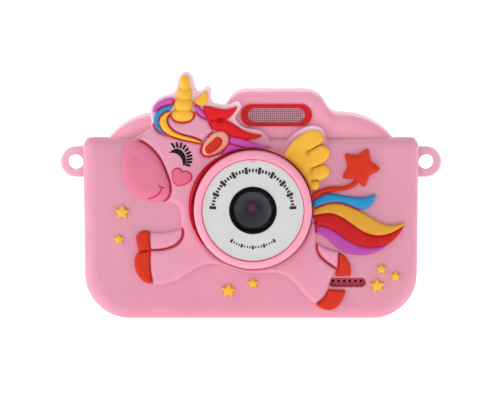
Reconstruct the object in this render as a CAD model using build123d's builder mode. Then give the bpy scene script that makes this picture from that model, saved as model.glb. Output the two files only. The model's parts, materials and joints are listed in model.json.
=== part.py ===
from build123d import *
from math import asin, atan2, cos, degrees, radians, sin, tan
import os

# A children's digital camera in a moulded silicone jacket with a unicorn in relief.
#
# Millimetres. +X is to the right of a viewer facing the lens, +Z is up and the lens looks along -Y.
# The origin is on the base, under the middle of the jacket. Depths are given as distances in front
# of the X-Z plane, so a positive depth is towards the lens (-Y) and a negative one towards the screen.
# Heights are drawn from the level that the body was laid out on, and save() lifts every piece so that
# the jacket stands on the origin.

os.makedirs("parts", exist_ok=True)

# ---------------------------------------------------------------- driving dimensions
# hard body
BODY_HALF_WIDTH = 49.1
BODY_BOTTOM = 1.7
SHOULDER_TOP = 63.1
HUMP_TOP = 70.4
HUMP_LEFT = -5.5
HUMP_RIGHT = 21.3
HUMP_SPREAD = 3.8
BODY_FRONT = 11.0
PARTING = -4.0
BODY_BACK = -13.0
WALL = 1.8
INNER_FRONT = BODY_FRONT - WALL
INNER_BACK = BODY_BACK + WALL
EDGE_ROUNDING = 3.2

# silicone jacket
JACKET_TOP = 56.0
JACKET_BACK_TOP = 54.4
JACKET_BOTTOM = -0.6
JACKET_TOP_HALF = 52.5
JACKET_BOTTOM_HALF = 51.9
JACKET_FRONT = 13.5
JACKET_BACK = -15.5
JACKET_WALL = 2.2
JACKET_CORNER = 14.0
JACKET_TOP_CORNER = 2.9
JACKET_CLEARANCE = 0.1
BACK_LIP = 7.5
LENS_OPENING_RADIUS = 18.9
LOOP_X = 55.1
LOOP_Z = 47.8
LOOP_RADIUS = 4.8
LOOP_HOLE_RADIUS = 2.35
LOOP_DEPTH = 4.0

# relief on the jacket
RELIEF_BODY = 1.2
RELIEF_LOCK = 1.7
RELIEF_HORN = 2.3
RELIEF_INLAY = 0.5

# lens
LENS_X = 0.6
LENS_Z = 34.1
RING_RADIUS = 18.3
RING_FRONT = 20.5
DISC_RADIUS = 15.85
DISC_FRONT = 19.9
DISC_THICKNESS = 1.0
HOOD_RADIUS = 7.35
WINDOW_RADIUS = 6.1
HOLDER_RADIUS = 6.7
SENSOR_BOARD_FRONT = 0.9
RING_SCREW_CIRCLE = 13.6

# flash
FLASH_X = 7.9
FLASH_Z = 63.1
FLASH_WIDTH = 22.2
FLASH_HEIGHT = 6.9
FLASH_WINDOW_WIDTH = 17.8
FLASH_WINDOW_HEIGHT = 4.5

# speaker and its slot
SLOT_X = 30.05
SLOT_Z = 10.95
SLOT_WIDTH = 11.7
SLOT_HEIGHT = 3.0
GRILLE_WIDTH = 13.1
GRILLE_HEIGHT = 4.1
SPEAKER = (30.0, 15.2)
SPEAKER_RADIUS = 7.6

# electronics
BOARD_FRONT = -4.4
BOARD_THICKNESS = 1.2
BOARD_BACK = BOARD_FRONT - BOARD_THICKNESS
SCREEN_X = 11.0
SCREEN_Z = 34.0
SCREEN_WIDTH = 50.0
SCREEN_HEIGHT = 38.0
MICROPHONE = (-20.0, 12.0)
# sockets in the side wall, as (y, z)
CHARGING_SOCKET = (7.05, 23.5)
CARD_SOCKET = (6.55, 36.5)

# buttons
PAD_X = -30.0
PAD_Z = 31.0
PAD_RADIUS = 9.0
PAD_CAP_RADIUS = 3.6
SMALL_CAP_RADIUS = 2.7
BUTTON_GAP = 0.2
BUTTON_PROUD = 1.2
FLANGE_THICKNESS = 0.8
SWITCH_SIDE = 4.5
SWITCH_HEIGHT = 3.2
PLUNGER_RADIUS = 1.2
PLUNGER_HEIGHT = 0.6

HOUSING_SCREWS = [(-41.0, 48.6), (41.0, 48.6), (-41.0, 11.0), (41.0, 11.0)]
BOARD_SCREWS = [(-41.0, 36.5), (30.0, 48.5), (-24.0, 7.4), (41.0, 17.5)]
PAD_BUTTONS = {
    "up_button": (PAD_X, PAD_Z + PAD_RADIUS),
    "down_button": (PAD_X, PAD_Z - PAD_RADIUS),
    "left_button": (PAD_X + PAD_RADIUS, PAD_Z),
    "right_button": (PAD_X - PAD_RADIUS, PAD_Z),
    "ok_button": (PAD_X, PAD_Z),
}
SMALL_BUTTONS = {
    "mode_button": (PAD_X + 4.5, 49.4),
    "playback_button": (PAD_X - 4.3, 49.4),
}
SHUTTER = (-22.5, 3.0)
SHUTTER_CAP_RADIUS = 4.0
POWER = (-13.2, 3.0)
POWER_CAP_RADIUS = 2.2
TOP_BOARD_TOP = 51.6


def save(piece, label):
    """Lift a finished piece to stand on the origin, label it and write its STEP file."""
    placed = piece.moved(Location((0, 0, -JACKET_BOTTOM)))
    placed.label = label
    export_step(placed, f"parts/{label}.step")


def depth_plane(depth):
    """Sketch plane facing the viewer, at a distance in front of the X-Z plane."""
    return Plane.XZ.offset(depth)


# ---------------------------------------------------------------- outlines shared by several pieces
BODY_CORNER_RADIUS = 12.8
SHOULDER_RADIUS = 20.5
HUMP_FOOT_RADIUS = 5.0
HUMP_TOP_RADIUS = 7.0
HUMP_LEAN = atan2(HUMP_TOP - SHOULDER_TOP, HUMP_SPREAD)


def body_outline(depth, inset=0.0):
    """Front outline of the hard body, or the same outline moved inwards by an inset."""
    side = BODY_HALF_WIDTH - inset
    bottom = BODY_BOTTOM + inset
    shoulder = SHOULDER_TOP - inset
    hump_top = HUMP_TOP - inset
    # the hump's sides lean, so its corners move sideways by less than the inset
    hump_left = HUMP_LEFT + inset * tan(HUMP_LEAN / 2)
    hump_right = HUMP_RIGHT - inset * tan(HUMP_LEAN / 2)
    corner_radius = BODY_CORNER_RADIUS - inset
    shoulder_radius = SHOULDER_RADIUS - inset
    foot_radius = HUMP_FOOT_RADIUS + inset
    top_radius = HUMP_TOP_RADIUS - inset
    corners = [
        ((-side, bottom), corner_radius),
        ((side, bottom), corner_radius),
        ((side, shoulder), shoulder_radius),
        ((hump_right + HUMP_SPREAD, shoulder), foot_radius),
        ((hump_right, hump_top), top_radius),
        ((hump_left, hump_top), top_radius),
        ((hump_left - HUMP_SPREAD, shoulder), foot_radius),
        ((-side, shoulder), shoulder_radius),
    ]
    with BuildSketch(depth_plane(depth)) as outline:
        with BuildLine():
            FilletPolyline(*[point for point, radius in corners], radius=[radius for point, radius in corners],
                           close=True)
        make_face()
    return outline.sketch


def stadium(depth, centre, width, height):
    """Slot with round ends, lying along X."""
    with BuildSketch(depth_plane(depth)) as slot:
        with Locations(centre):
            SlotOverall(width, height)
    return slot.sketch


def discs(depth, centres, radius):
    """Circles of one size at several places."""
    with BuildSketch(depth_plane(depth)) as circles:
        with Locations(*centres):
            Circle(radius)
    return circles.sketch


# ---------------------------------------------------------------- hard body: front and rear covers
with BuildPart() as front_cover:
    extrude(body_outline(BODY_FRONT), amount=PARTING - BODY_FRONT)
    front_edges = front_cover.faces().sort_by(Axis.Y)[0].outer_wire().edges()
    fillet(front_edges, EDGE_ROUNDING)
    extrude(body_outline(INNER_FRONT, inset=WALL), amount=PARTING - INNER_FRONT, mode=Mode.SUBTRACT)
    # posts for the housing screws and for the main board
    with BuildSketch(depth_plane(INNER_FRONT)):
        with Locations(*HOUSING_SCREWS):
            Circle(2.7)
    extrude(amount=PARTING + 0.1 - INNER_FRONT)
    with BuildSketch(depth_plane(INNER_FRONT)):
        with Locations(*BOARD_SCREWS):
            Circle(1.8)
    extrude(amount=BOARD_FRONT - INNER_FRONT)
    with BuildSketch(depth_plane(BOARD_FRONT - 0.1)):
        with Locations(*HOUSING_SCREWS):
            Circle(1.05)
        with Locations(*BOARD_SCREWS):
            Circle(0.75)
    extrude(amount=9.5, mode=Mode.SUBTRACT)
    # ring that holds the speaker, ribs that carry the top switch board
    with BuildSketch(depth_plane(INNER_FRONT)):
        with Locations(SPEAKER):
            Circle(SPEAKER_RADIUS + 1.0)
            Circle(SPEAKER_RADIUS + 0.1, mode=Mode.SUBTRACT)
    extrude(amount=-2.5)
    with BuildSketch(depth_plane(INNER_FRONT)):
        with Locations((-26.4, TOP_BOARD_TOP - 2.0), (-9.6, TOP_BOARD_TOP - 2.0)):
            Rectangle(1.4, 2.0)
    extrude(amount=-11.0)
    # bore for the lens, clearance holes for the lens ring screws
    with BuildSketch(depth_plane(BODY_FRONT)):
        with Locations((LENS_X, LENS_Z)):
            Circle(HOLDER_RADIUS - 1.2)
            with PolarLocations(RING_SCREW_CIRCLE, 3, start_angle=30):
                Circle(1.15)
    extrude(amount=-WALL - 0.1, mode=Mode.SUBTRACT)
    # tube that holds the camera module
    with BuildSketch(depth_plane(INNER_FRONT)):
        with Locations((LENS_X, LENS_Z)):
            Circle(HOLDER_RADIUS)
            Circle(HOLDER_RADIUS - 1.2, mode=Mode.SUBTRACT)
    extrude(amount=SENSOR_BOARD_FRONT - INNER_FRONT)
    # seat for the flash
    with BuildSketch(depth_plane(BODY_FRONT)):
        with Locations((FLASH_X, FLASH_Z)):
            SlotOverall(FLASH_WIDTH - 1.0, FLASH_HEIGHT - 1.0)
    extrude(amount=-WALL - 0.1, mode=Mode.SUBTRACT)
    # seat for the speaker grille
    with BuildSketch(depth_plane(BODY_FRONT)):
        with Locations((SLOT_X, SLOT_Z)):
            SlotOverall(GRILLE_WIDTH + 0.1, GRILLE_HEIGHT + 0.1)
    extrude(amount=-1.0, mode=Mode.SUBTRACT)
    with BuildSketch(depth_plane(BODY_FRONT - 1.0)):
        with Locations((SLOT_X, SLOT_Z)):
            SlotOverall(GRILLE_WIDTH - 2.3, GRILLE_HEIGHT - 1.9)
    extrude(amount=-1.0, mode=Mode.SUBTRACT)
    # holes for the shutter and power buttons, which are pressed down from the top
    with BuildSketch(Plane.XY.offset(SHOULDER_TOP - WALL - 0.2)):
        with Locations((SHUTTER[0], -SHUTTER[1])):
            Circle(SHUTTER_CAP_RADIUS + BUTTON_GAP)
        with Locations((POWER[0], -POWER[1])):
            Circle(POWER_CAP_RADIUS + BUTTON_GAP)
    extrude(amount=WALL + 1.0, mode=Mode.SUBTRACT)
save(front_cover.part, "front_cover")

with BuildPart() as rear_cover:
    extrude(body_outline(PARTING), amount=BODY_BACK - PARTING)
    rear_edges = rear_cover.faces().sort_by(Axis.Y)[-1].outer_wire().edges()
    fillet(rear_edges, EDGE_ROUNDING)
    extrude(body_outline(PARTING - 1.0, inset=WALL), amount=INNER_BACK - PARTING + 1.0, mode=Mode.SUBTRACT)
    # tongue that locates inside the front cover
    extrude(body_outline(PARTING, inset=WALL + 0.1), amount=1.5)
    extrude(body_outline(INNER_BACK, inset=WALL + 0.9), amount=PARTING + 1.6 - INNER_BACK, mode=Mode.SUBTRACT)
    # posts and deep counterbores for the housing screws
    with BuildSketch(depth_plane(PARTING)):
        with Locations(*HOUSING_SCREWS):
            Circle(2.8)
    extrude(amount=BODY_BACK - PARTING + 1.0)
    with BuildSketch(depth_plane(PARTING + 0.1)):
        with Locations(*HOUSING_SCREWS):
            Circle(1.2)
    extrude(amount=-20.0, mode=Mode.SUBTRACT)
    with BuildSketch(depth_plane(BODY_BACK - 0.1)):
        with Locations(*HOUSING_SCREWS):
            Circle(2.25)
    extrude(amount=5.1, mode=Mode.SUBTRACT)
    # screen recess and the opening behind it
    with BuildSketch(depth_plane(BODY_BACK)):
        with Locations((SCREEN_X, SCREEN_Z)):
            RectangleRounded(SCREEN_WIDTH + 0.2, SCREEN_HEIGHT + 0.2, 3.0)
    extrude(amount=1.2, mode=Mode.SUBTRACT)
    with BuildSketch(depth_plane(BODY_BACK)):
        with Locations((SCREEN_X, SCREEN_Z)):
            RectangleRounded(SCREEN_WIDTH - 5.0, SCREEN_HEIGHT - 5.0, 1.5)
    extrude(amount=WALL + 0.2, mode=Mode.SUBTRACT)
    # button holes and the microphone hole
    with BuildSketch(depth_plane(BODY_BACK - 0.1)):
        with Locations(*PAD_BUTTONS.values()):
            Circle(PAD_CAP_RADIUS + BUTTON_GAP)
        with Locations(*SMALL_BUTTONS.values()):
            Circle(SMALL_CAP_RADIUS + BUTTON_GAP)
        with Locations(MICROPHONE):
            Circle(0.6)
    extrude(amount=WALL + 0.3, mode=Mode.SUBTRACT)
    # openings in the side wall for the charging socket and the memory card
    with BuildSketch(Plane.YZ.offset(BODY_HALF_WIDTH + 0.1)):
        with Locations(CHARGING_SOCKET):
            RectangleRounded(3.4, 8.3, 1.0)
        with Locations(CARD_SOCKET):
            RectangleRounded(1.9, 12.2, 0.5)
    extrude(amount=-WALL - 0.2, mode=Mode.SUBTRACT)
save(rear_cover.part, "rear_cover")

with BuildPart() as housing_screws:
    with BuildSketch(depth_plane(BODY_BACK + 5.0)):
        with Locations(*HOUSING_SCREWS):
            Circle(2.0)
    extrude(amount=-1.4)
    with BuildSketch(depth_plane(BODY_BACK + 5.0)):
        with Locations(*HOUSING_SCREWS):
            Circle(1.0)
    extrude(amount=11.0)
    with BuildSketch(depth_plane(BODY_BACK + 3.6)):
        with Locations(*HOUSING_SCREWS):
            Rectangle(2.4, 0.6)
            Rectangle(0.6, 2.4)
    extrude(amount=0.7, mode=Mode.SUBTRACT)
save(housing_screws.part, "housing_screws")

# ---------------------------------------------------------------- lens assembly, turned about the lens axis
# profiles are drawn as (radius, depth) on a plane through the lens axis
LENS_PLANE = Plane(origin=(LENS_X, 0, LENS_Z), x_dir=(1, 0, 0), z_dir=(0, 0, 1))
LENS_AXIS = Axis((LENS_X, 0, LENS_Z), (0, 1, 0))


def turned_profile(corners):
    """Closed profile of (radius, depth) corners on a plane through the lens axis."""
    with BuildSketch(LENS_PLANE) as profile:
        with BuildLine():
            Polyline(*[(radius, -depth) for radius, depth in corners], close=True)
        make_face()
    return profile.sketch


with BuildPart() as lens_ring:
    revolve(turned_profile([
        (RING_RADIUS, BODY_FRONT),
        (RING_RADIUS, RING_FRONT),
        (DISC_RADIUS + 0.1, RING_FRONT),
        (DISC_RADIUS + 0.1, DISC_FRONT - DISC_THICKNESS),
        (14.8, DISC_FRONT - DISC_THICKNESS),
        (14.8, DISC_FRONT - 2.4),
        (16.6, DISC_FRONT - 3.8),
        (16.6, BODY_FRONT + 2.4),
        (9.6, BODY_FRONT + 2.4),
        (9.6, BODY_FRONT),
    ]), axis=LENS_AXIS)
    rim = lens_ring.edges().filter_by(GeomType.CIRCLE).filter_by(
        lambda edge: abs(edge.radius - RING_RADIUS) < 0.01 and edge.center().Y < -RING_FRONT + 0.1)
    fillet(rim, 1.5)
    inner_rim = lens_ring.edges().filter_by(GeomType.CIRCLE).filter_by(
        lambda edge: abs(edge.radius - DISC_RADIUS - 0.1) < 0.01 and edge.center().Y < -RING_FRONT + 0.1)
    fillet(inner_rim, 0.3)
    # key that fits the notch in the disc
    with BuildSketch(depth_plane(DISC_FRONT - DISC_THICKNESS)):
        with Locations((LENS_X, LENS_Z + DISC_RADIUS)):
            Circle(0.95)
    extrude(amount=DISC_THICKNESS)
    # pilot holes for the screws that hold the ring from inside the front cover
    with BuildSketch(depth_plane(BODY_FRONT)):
        with Locations((LENS_X, LENS_Z)):
            with PolarLocations(RING_SCREW_CIRCLE, 3, start_angle=30):
                Circle(0.85)
    extrude(amount=2.0, mode=Mode.SUBTRACT)
save(lens_ring.part, "lens_ring")

with BuildPart() as lens_ring_screws:
    with BuildSketch(depth_plane(INNER_FRONT - 1.2)):
        with Locations((LENS_X, LENS_Z)):
            with PolarLocations(RING_SCREW_CIRCLE, 3, start_angle=30):
                Circle(1.9)
    extrude(amount=1.2)
    with BuildSketch(depth_plane(INNER_FRONT)):
        with Locations((LENS_X, LENS_Z)):
            with PolarLocations(RING_SCREW_CIRCLE, 3, start_angle=30):
                Circle(0.8)
    extrude(amount=3.6)
save(lens_ring_screws.part, "lens_ring_screws")

with BuildPart() as lens_face_disc:
    with BuildSketch(depth_plane(DISC_FRONT)):
        with Locations((LENS_X, LENS_Z)):
            Circle(DISC_RADIUS)
            Circle(HOOD_RADIUS + 0.05, mode=Mode.SUBTRACT)
        with Locations((LENS_X, LENS_Z + DISC_RADIUS)):
            Circle(1.0, mode=Mode.SUBTRACT)
    extrude(amount=-DISC_THICKNESS)
save(lens_face_disc.part, "lens_face_disc")

with BuildPart() as lens_hood:
    revolve(turned_profile([
        (HOOD_RADIUS, DISC_FRONT + 0.15),
        (HOOD_RADIUS, DISC_FRONT - DISC_THICKNESS - 0.05),
        (9.0, DISC_FRONT - DISC_THICKNESS - 0.05),
        (9.0, DISC_FRONT - 2.2),
        (HOOD_RADIUS, DISC_FRONT - 2.2),
        (5.0, 10.0),
        (3.4, 10.0),
        (4.2, 13.5),
        (4.6, 13.5),
        (5.2, 16.5),
        (5.6, 16.5),
        (5.6, DISC_FRONT - 1.8),
        (WINDOW_RADIUS + 0.05, DISC_FRONT - 1.8),
        (WINDOW_RADIUS + 0.05, DISC_FRONT - 0.7),
        (6.6, DISC_FRONT + 0.15),
    ]), axis=LENS_AXIS)
save(lens_hood.part, "lens_hood")

with BuildPart() as lens_window:
    revolve(turned_profile([
        (0.0, DISC_FRONT - 0.8),
        (WINDOW_RADIUS, DISC_FRONT - 0.8),
        (WINDOW_RADIUS, DISC_FRONT - 1.75),
        (0.0, DISC_FRONT - 1.75),
    ]), axis=LENS_AXIS)
save(lens_window.part, "lens_window")

with BuildPart() as lens_barrel:
    revolve(turned_profile([
        (1.9, 9.2),
        (1.9, 8.4),
        (1.5, 8.4),
        (1.5, 1.0),
        (5.2, 1.0),
        (5.2, 4.6),
        (4.0, 4.6),
        (4.0, 9.4),
        (2.4, 9.8),
    ]), axis=LENS_AXIS)
save(lens_barrel.part, "lens_barrel")

with BuildPart() as lens_glass:
    with BuildSketch(LENS_PLANE):
        with BuildLine():
            Line((0, -8.5), (1.8, -8.5))
            Line((1.8, -8.5), (1.8, -9.0))
            CenterArc((0, -6.6), 3.0, 270.0, degrees(asin(0.6)))
            Line((0, -9.6), (0, -8.5))
        make_face()
    revolve(axis=LENS_AXIS)
save(lens_glass.part, "lens_glass")

with BuildPart() as sensor_board:
    with BuildSketch(depth_plane(SENSOR_BOARD_FRONT)):
        with Locations((LENS_X, LENS_Z)):
            RectangleRounded(15.0, 15.0, 1.0)
    extrude(amount=-1.0)
    with BuildSketch(depth_plane(SENSOR_BOARD_FRONT)):
        with Locations((LENS_X, LENS_Z)):
            Rectangle(2.0, 2.0)
    extrude(amount=0.5)
save(sensor_board.part, "sensor_board")

# ---------------------------------------------------------------- flash in the hump
with BuildPart() as flash_bezel:
    with BuildSketch(depth_plane(BODY_FRONT)):
        with Locations((FLASH_X, FLASH_Z)):
            SlotOverall(FLASH_WIDTH, FLASH_HEIGHT)
            SlotOverall(FLASH_WINDOW_WIDTH, FLASH_WINDOW_HEIGHT, mode=Mode.SUBTRACT)
    extrude(amount=0.6)
    with BuildSketch(depth_plane(BODY_FRONT)):
        with Locations((FLASH_X, FLASH_Z)):
            SlotOverall(FLASH_WIDTH - 1.2, FLASH_HEIGHT - 1.2)
            SlotOverall(FLASH_WINDOW_WIDTH, FLASH_WINDOW_HEIGHT, mode=Mode.SUBTRACT)
    extrude(amount=-2.4)
    with BuildSketch(depth_plane(BODY_FRONT + 0.6)):
        with Locations((FLASH_X, FLASH_Z)):
            SlotOverall(FLASH_WINDOW_WIDTH + 2.2, FLASH_WINDOW_HEIGHT + 1.4)
            SlotOverall(FLASH_WINDOW_WIDTH, FLASH_WINDOW_HEIGHT, mode=Mode.SUBTRACT)
    extrude(amount=-0.3, mode=Mode.SUBTRACT)
save(flash_bezel.part, "flash_bezel")

with BuildPart() as flash_window:
    with BuildSketch(depth_plane(BODY_FRONT - 0.1)):
        with Locations((FLASH_X, FLASH_Z)):
            SlotOverall(FLASH_WINDOW_WIDTH - 0.1, FLASH_WINDOW_HEIGHT - 0.1)
    extrude(amount=-0.8)
save(flash_window.part, "flash_window")

with BuildPart() as flash_reflector:
    with BuildSketch(depth_plane(BODY_FRONT - 1.0)):
        with Locations((FLASH_X, FLASH_Z)):
            SlotOverall(FLASH_WINDOW_WIDTH - 0.1, FLASH_WINDOW_HEIGHT - 0.1)
    extrude(amount=-3.4)
    with BuildSketch(depth_plane(BODY_FRONT - 1.0)):
        with Locations((FLASH_X, FLASH_Z)):
            SlotOverall(FLASH_WINDOW_WIDTH - 1.1, FLASH_WINDOW_HEIGHT - 1.1)
    extrude(amount=-2.8, mode=Mode.SUBTRACT)
    with BuildSketch(depth_plane(BODY_FRONT - 3.6)):
        with Locations((FLASH_X, FLASH_Z)):
            with GridLocations(5.0, 1.0, 3, 1):
                Rectangle(2.6, 2.2)
    extrude(amount=-1.0, mode=Mode.SUBTRACT)
save(flash_reflector.part, "flash_reflector")

with BuildPart() as flash_led_board:
    with BuildSketch(depth_plane(BODY_FRONT - 4.5)):
        with Locations((FLASH_X, FLASH_Z)):
            Rectangle(20.0, 5.0)
    extrude(amount=-1.0)
    with BuildSketch(depth_plane(BODY_FRONT - 4.5)):
        with Locations((FLASH_X, FLASH_Z)):
            with GridLocations(5.0, 1.0, 3, 1):
                Rectangle(2.2, 1.8)
    extrude(amount=0.9)
save(flash_led_board.part, "flash_led_board")

# ---------------------------------------------------------------- speaker behind its grille
with BuildPart() as speaker_grille:
    with BuildSketch(depth_plane(BODY_FRONT)):
        with Locations((SLOT_X, SLOT_Z)):
            SlotOverall(GRILLE_WIDTH, GRILLE_HEIGHT)
        with Locations((SLOT_X, SLOT_Z + 0.2)):
            with GridLocations(1.74, 1.0, 6, 1):
                Circle(0.42, mode=Mode.SUBTRACT)
    extrude(amount=-1.0)
save(speaker_grille.part, "speaker_grille")

with BuildPart() as speaker:
    with BuildSketch(depth_plane(INNER_FRONT - 0.1)):
        with Locations(SPEAKER):
            Circle(SPEAKER_RADIUS)
            Circle(SPEAKER_RADIUS - 1.0, mode=Mode.SUBTRACT)
    extrude(amount=-0.6)
    with BuildSketch(depth_plane(INNER_FRONT - 0.6)):
        with Locations(SPEAKER):
            Circle(SPEAKER_RADIUS)
    extrude(amount=-1.6)
    with BuildSketch(depth_plane(INNER_FRONT - 2.2)):
        with Locations(SPEAKER):
            Circle(5.0)
    extrude(amount=-1.8)
save(speaker.part, "speaker")

# ---------------------------------------------------------------- boards, battery, sockets and screen
with BuildPart() as main_board:
    with BuildSketch(depth_plane(BOARD_FRONT)):
        with BuildLine():
            FilletPolyline(
                (-42.5, 5.2), (42.5, 5.2), (42.5, 18.5), (46.2, 18.5), (46.2, 43.5), (42.5, 43.5), (42.5, 52.0),
                (-42.5, 52.0), radius=[9.0, 9.0, 1.0, 1.0, 1.0, 1.0, 6.0, 6.0], close=True)
        make_face()
        with Locations(*HOUSING_SCREWS):
            Circle(3.4, mode=Mode.SUBTRACT)
        with Locations(*BOARD_SCREWS):
            Circle(0.9, mode=Mode.SUBTRACT)
    extrude(amount=-BOARD_THICKNESS)
    # processor and memory on the front, regulator on the back
    with BuildSketch(depth_plane(BOARD_FRONT)):
        with Locations((20.0, 32.0)):
            Rectangle(10.0, 10.0)
        with Locations((21.0, 45.0)):
            Rectangle(8.0, 6.0)
    extrude(amount=1.1)
    with BuildSketch(depth_plane(BOARD_BACK)):
        with Locations((-6.0, 9.5)):
            Rectangle(5.0, 4.0)
    extrude(amount=-1.0)
save(main_board.part, "main_board")

with BuildPart() as board_screws:
    with BuildSketch(depth_plane(BOARD_BACK)):
        with Locations(*BOARD_SCREWS):
            Circle(1.6)
    extrude(amount=-1.1)
    with BuildSketch(depth_plane(BOARD_BACK)):
        with Locations(*BOARD_SCREWS):
            Circle(0.7)
    extrude(amount=6.0)
save(board_screws.part, "board_screws")

with BuildPart() as battery:
    with BuildSketch(depth_plane(INNER_FRONT - 0.3)):
        with Locations((-25.8, 30.0)):
            RectangleRounded(25.0, 35.0, 0.8)
    extrude(amount=-5.0)
    long_edges = battery.edges().filter_by(Axis.Z)
    fillet(long_edges, 1.5)
save(battery.part, "battery")

with BuildPart() as tact_switches:
    back_positions = [*PAD_BUTTONS.values(), *SMALL_BUTTONS.values()]
    with BuildSketch(depth_plane(BOARD_BACK)):
        with Locations(*back_positions):
            Rectangle(SWITCH_SIDE, SWITCH_SIDE)
    extrude(amount=-SWITCH_HEIGHT)
    with BuildSketch(depth_plane(BOARD_BACK - SWITCH_HEIGHT)):
        with Locations(*back_positions):
            Circle(PLUNGER_RADIUS)
    extrude(amount=-PLUNGER_HEIGHT)
save(tact_switches.part, "tact_switches")

with BuildPart() as top_switch_board:
    with BuildSketch(Plane.XY.offset(TOP_BOARD_TOP - 1.0)):
        with Locations((-18.0, -3.2)):
            Rectangle(18.6, 9.6)
    extrude(amount=1.0)
    with BuildSketch(Plane.XY.offset(TOP_BOARD_TOP)):
        with Locations((SHUTTER[0], -SHUTTER[1]), (POWER[0], -POWER[1])):
            Rectangle(SWITCH_SIDE, SWITCH_SIDE)
    extrude(amount=SWITCH_HEIGHT)
    with BuildSketch(Plane.XY.offset(TOP_BOARD_TOP + SWITCH_HEIGHT)):
        with Locations((SHUTTER[0], -SHUTTER[1]), (POWER[0], -POWER[1])):
            Circle(PLUNGER_RADIUS)
    extrude(amount=PLUNGER_HEIGHT)
save(top_switch_board.part, "top_switch_board")

with BuildPart() as microphone:
    with BuildSketch(depth_plane(BOARD_BACK)):
        with Locations(MICROPHONE):
            Circle(2.0)
    extrude(amount=-1.5)
save(microphone.part, "microphone")

with BuildPart() as usb_port:
    with BuildSketch(Plane.YZ.offset(43.0)):
        with Locations(CHARGING_SOCKET):
            RectangleRounded(2.8, 7.5, 0.7)
    extrude(amount=5.8)
    with BuildSketch(Plane.YZ.offset(48.9)):
        with Locations(CHARGING_SOCKET):
            RectangleRounded(2.2, 6.9, 0.5)
            with Locations((-0.2, 0)):
                Rectangle(0.6, 4.8, mode=Mode.SUBTRACT)
    extrude(amount=-5.0, mode=Mode.SUBTRACT)
save(usb_port.part, "usb_port")

with BuildPart() as card_slot:
    with BuildSketch(Plane.YZ.offset(32.6)):
        with Locations(CARD_SOCKET):
            Rectangle(1.8, 14.0)
    extrude(amount=14.4)
    with BuildSketch(Plane.YZ.offset(33.1)):
        with Locations(CARD_SOCKET):
            Rectangle(1.2, 11.4)
    extrude(amount=15.0, mode=Mode.SUBTRACT)
save(card_slot.part, "card_slot")

with BuildPart() as memory_card:
    with BuildSketch(depth_plane(-6.1)):
        with BuildLine():
            FilletPolyline(
                (34.2, 31.0), (49.9, 31.0), (49.9, 42.0), (38.2, 42.0), (36.8, 40.6), (34.2, 40.6),
                radius=[0.5, 0.8, 0.8, 0.3, 0.3, 0.5], close=True)
        make_face()
    extrude(amount=-0.8)
    with BuildSketch(depth_plane(-6.9)):
        with Locations((49.4, 36.5)):
            Rectangle(0.7, 9.0)
    extrude(amount=-0.2)
save(memory_card.part, "memory_card")

with BuildPart() as lcd_module:
    with BuildSketch(depth_plane(INNER_BACK + 2.4)):
        with Locations((SCREEN_X, SCREEN_Z)):
            RectangleRounded(48.0, 36.0, 0.8)
    extrude(amount=-2.2)
save(lcd_module.part, "lcd_module")

with BuildPart() as lcd_flex:
    with BuildSketch(Plane.YZ.offset(SCREEN_X - 8.0)):
        with BuildLine():
            Line((9.6, 15.8), (9.6, 12.6))
            ThreePointArc((9.6, 12.6), (7.7, 10.7), (5.8, 12.6))
            Line((5.8, 12.6), (5.8, 22.0))
        trace(line_width=0.3)
    extrude(amount=16.0)
save(lcd_flex.part, "lcd_flex")

with BuildPart() as screen_window:
    with BuildSketch(depth_plane(BODY_BACK)):
        with Locations((SCREEN_X, SCREEN_Z)):
            RectangleRounded(SCREEN_WIDTH, SCREEN_HEIGHT, 2.9)
    extrude(amount=1.15)
save(screen_window.part, "screen_window")

# ---------------------------------------------------------------- buttons
BUTTON_SEAT = BOARD_BACK - SWITCH_HEIGHT - PLUNGER_HEIGHT - 0.7


def back_button(label, position, cap_radius):
    """Round push button in the rear cover: domed cap outside, flange inside."""
    with BuildPart() as button:
        with BuildSketch(depth_plane(BUTTON_SEAT)):
            with Locations(position):
                Circle(cap_radius)
        extrude(amount=BODY_BACK - BUTTON_PROUD - BUTTON_SEAT)
        cap_edge = button.edges().filter_by(GeomType.CIRCLE).sort_by(Axis.Y)[-1]
        fillet(cap_edge, 0.6)
        with BuildSketch(depth_plane(BUTTON_SEAT)):
            with Locations(position):
                Circle(cap_radius + 0.75)
        extrude(amount=-FLANGE_THICKNESS)
    save(button.part, label)


for label, position in PAD_BUTTONS.items():
    back_button(label, position, PAD_CAP_RADIUS)
for label, position in SMALL_BUTTONS.items():
    back_button(label, position, SMALL_CAP_RADIUS)


def top_button(label, position, cap_radius, proud, travel):
    """Round push button in the shoulder: cap above, flange and stem inside."""
    plunger_top = TOP_BOARD_TOP + SWITCH_HEIGHT + PLUNGER_HEIGHT
    centre = (position[0], -position[1])
    with BuildPart() as button:
        with BuildSketch(Plane.XY.offset(SHOULDER_TOP - WALL - 1.2)):
            with Locations(centre):
                Circle(cap_radius)
        extrude(amount=WALL + 1.2 + proud)
        cap_edge = button.edges().filter_by(GeomType.CIRCLE).sort_by(Axis.Z)[-1]
        fillet(cap_edge, 0.7)
        with BuildSketch(Plane.XY.offset(SHOULDER_TOP - WALL - 1.2)):
            with Locations(centre):
                Circle(cap_radius + 0.9)
        extrude(amount=FLANGE_THICKNESS)
        with BuildSketch(Plane.XY.offset(plunger_top + travel + 0.1)):
            with Locations(centre):
                Circle(1.5)
        extrude(amount=SHOULDER_TOP - WALL - 1.0 - plunger_top - travel - 0.1)
    save(button.part, label)


top_button("shutter_button", SHUTTER, SHUTTER_CAP_RADIUS, proud=1.8, travel=0.8)
top_button("power_button", POWER, POWER_CAP_RADIUS, proud=0.9, travel=0.6)


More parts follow.
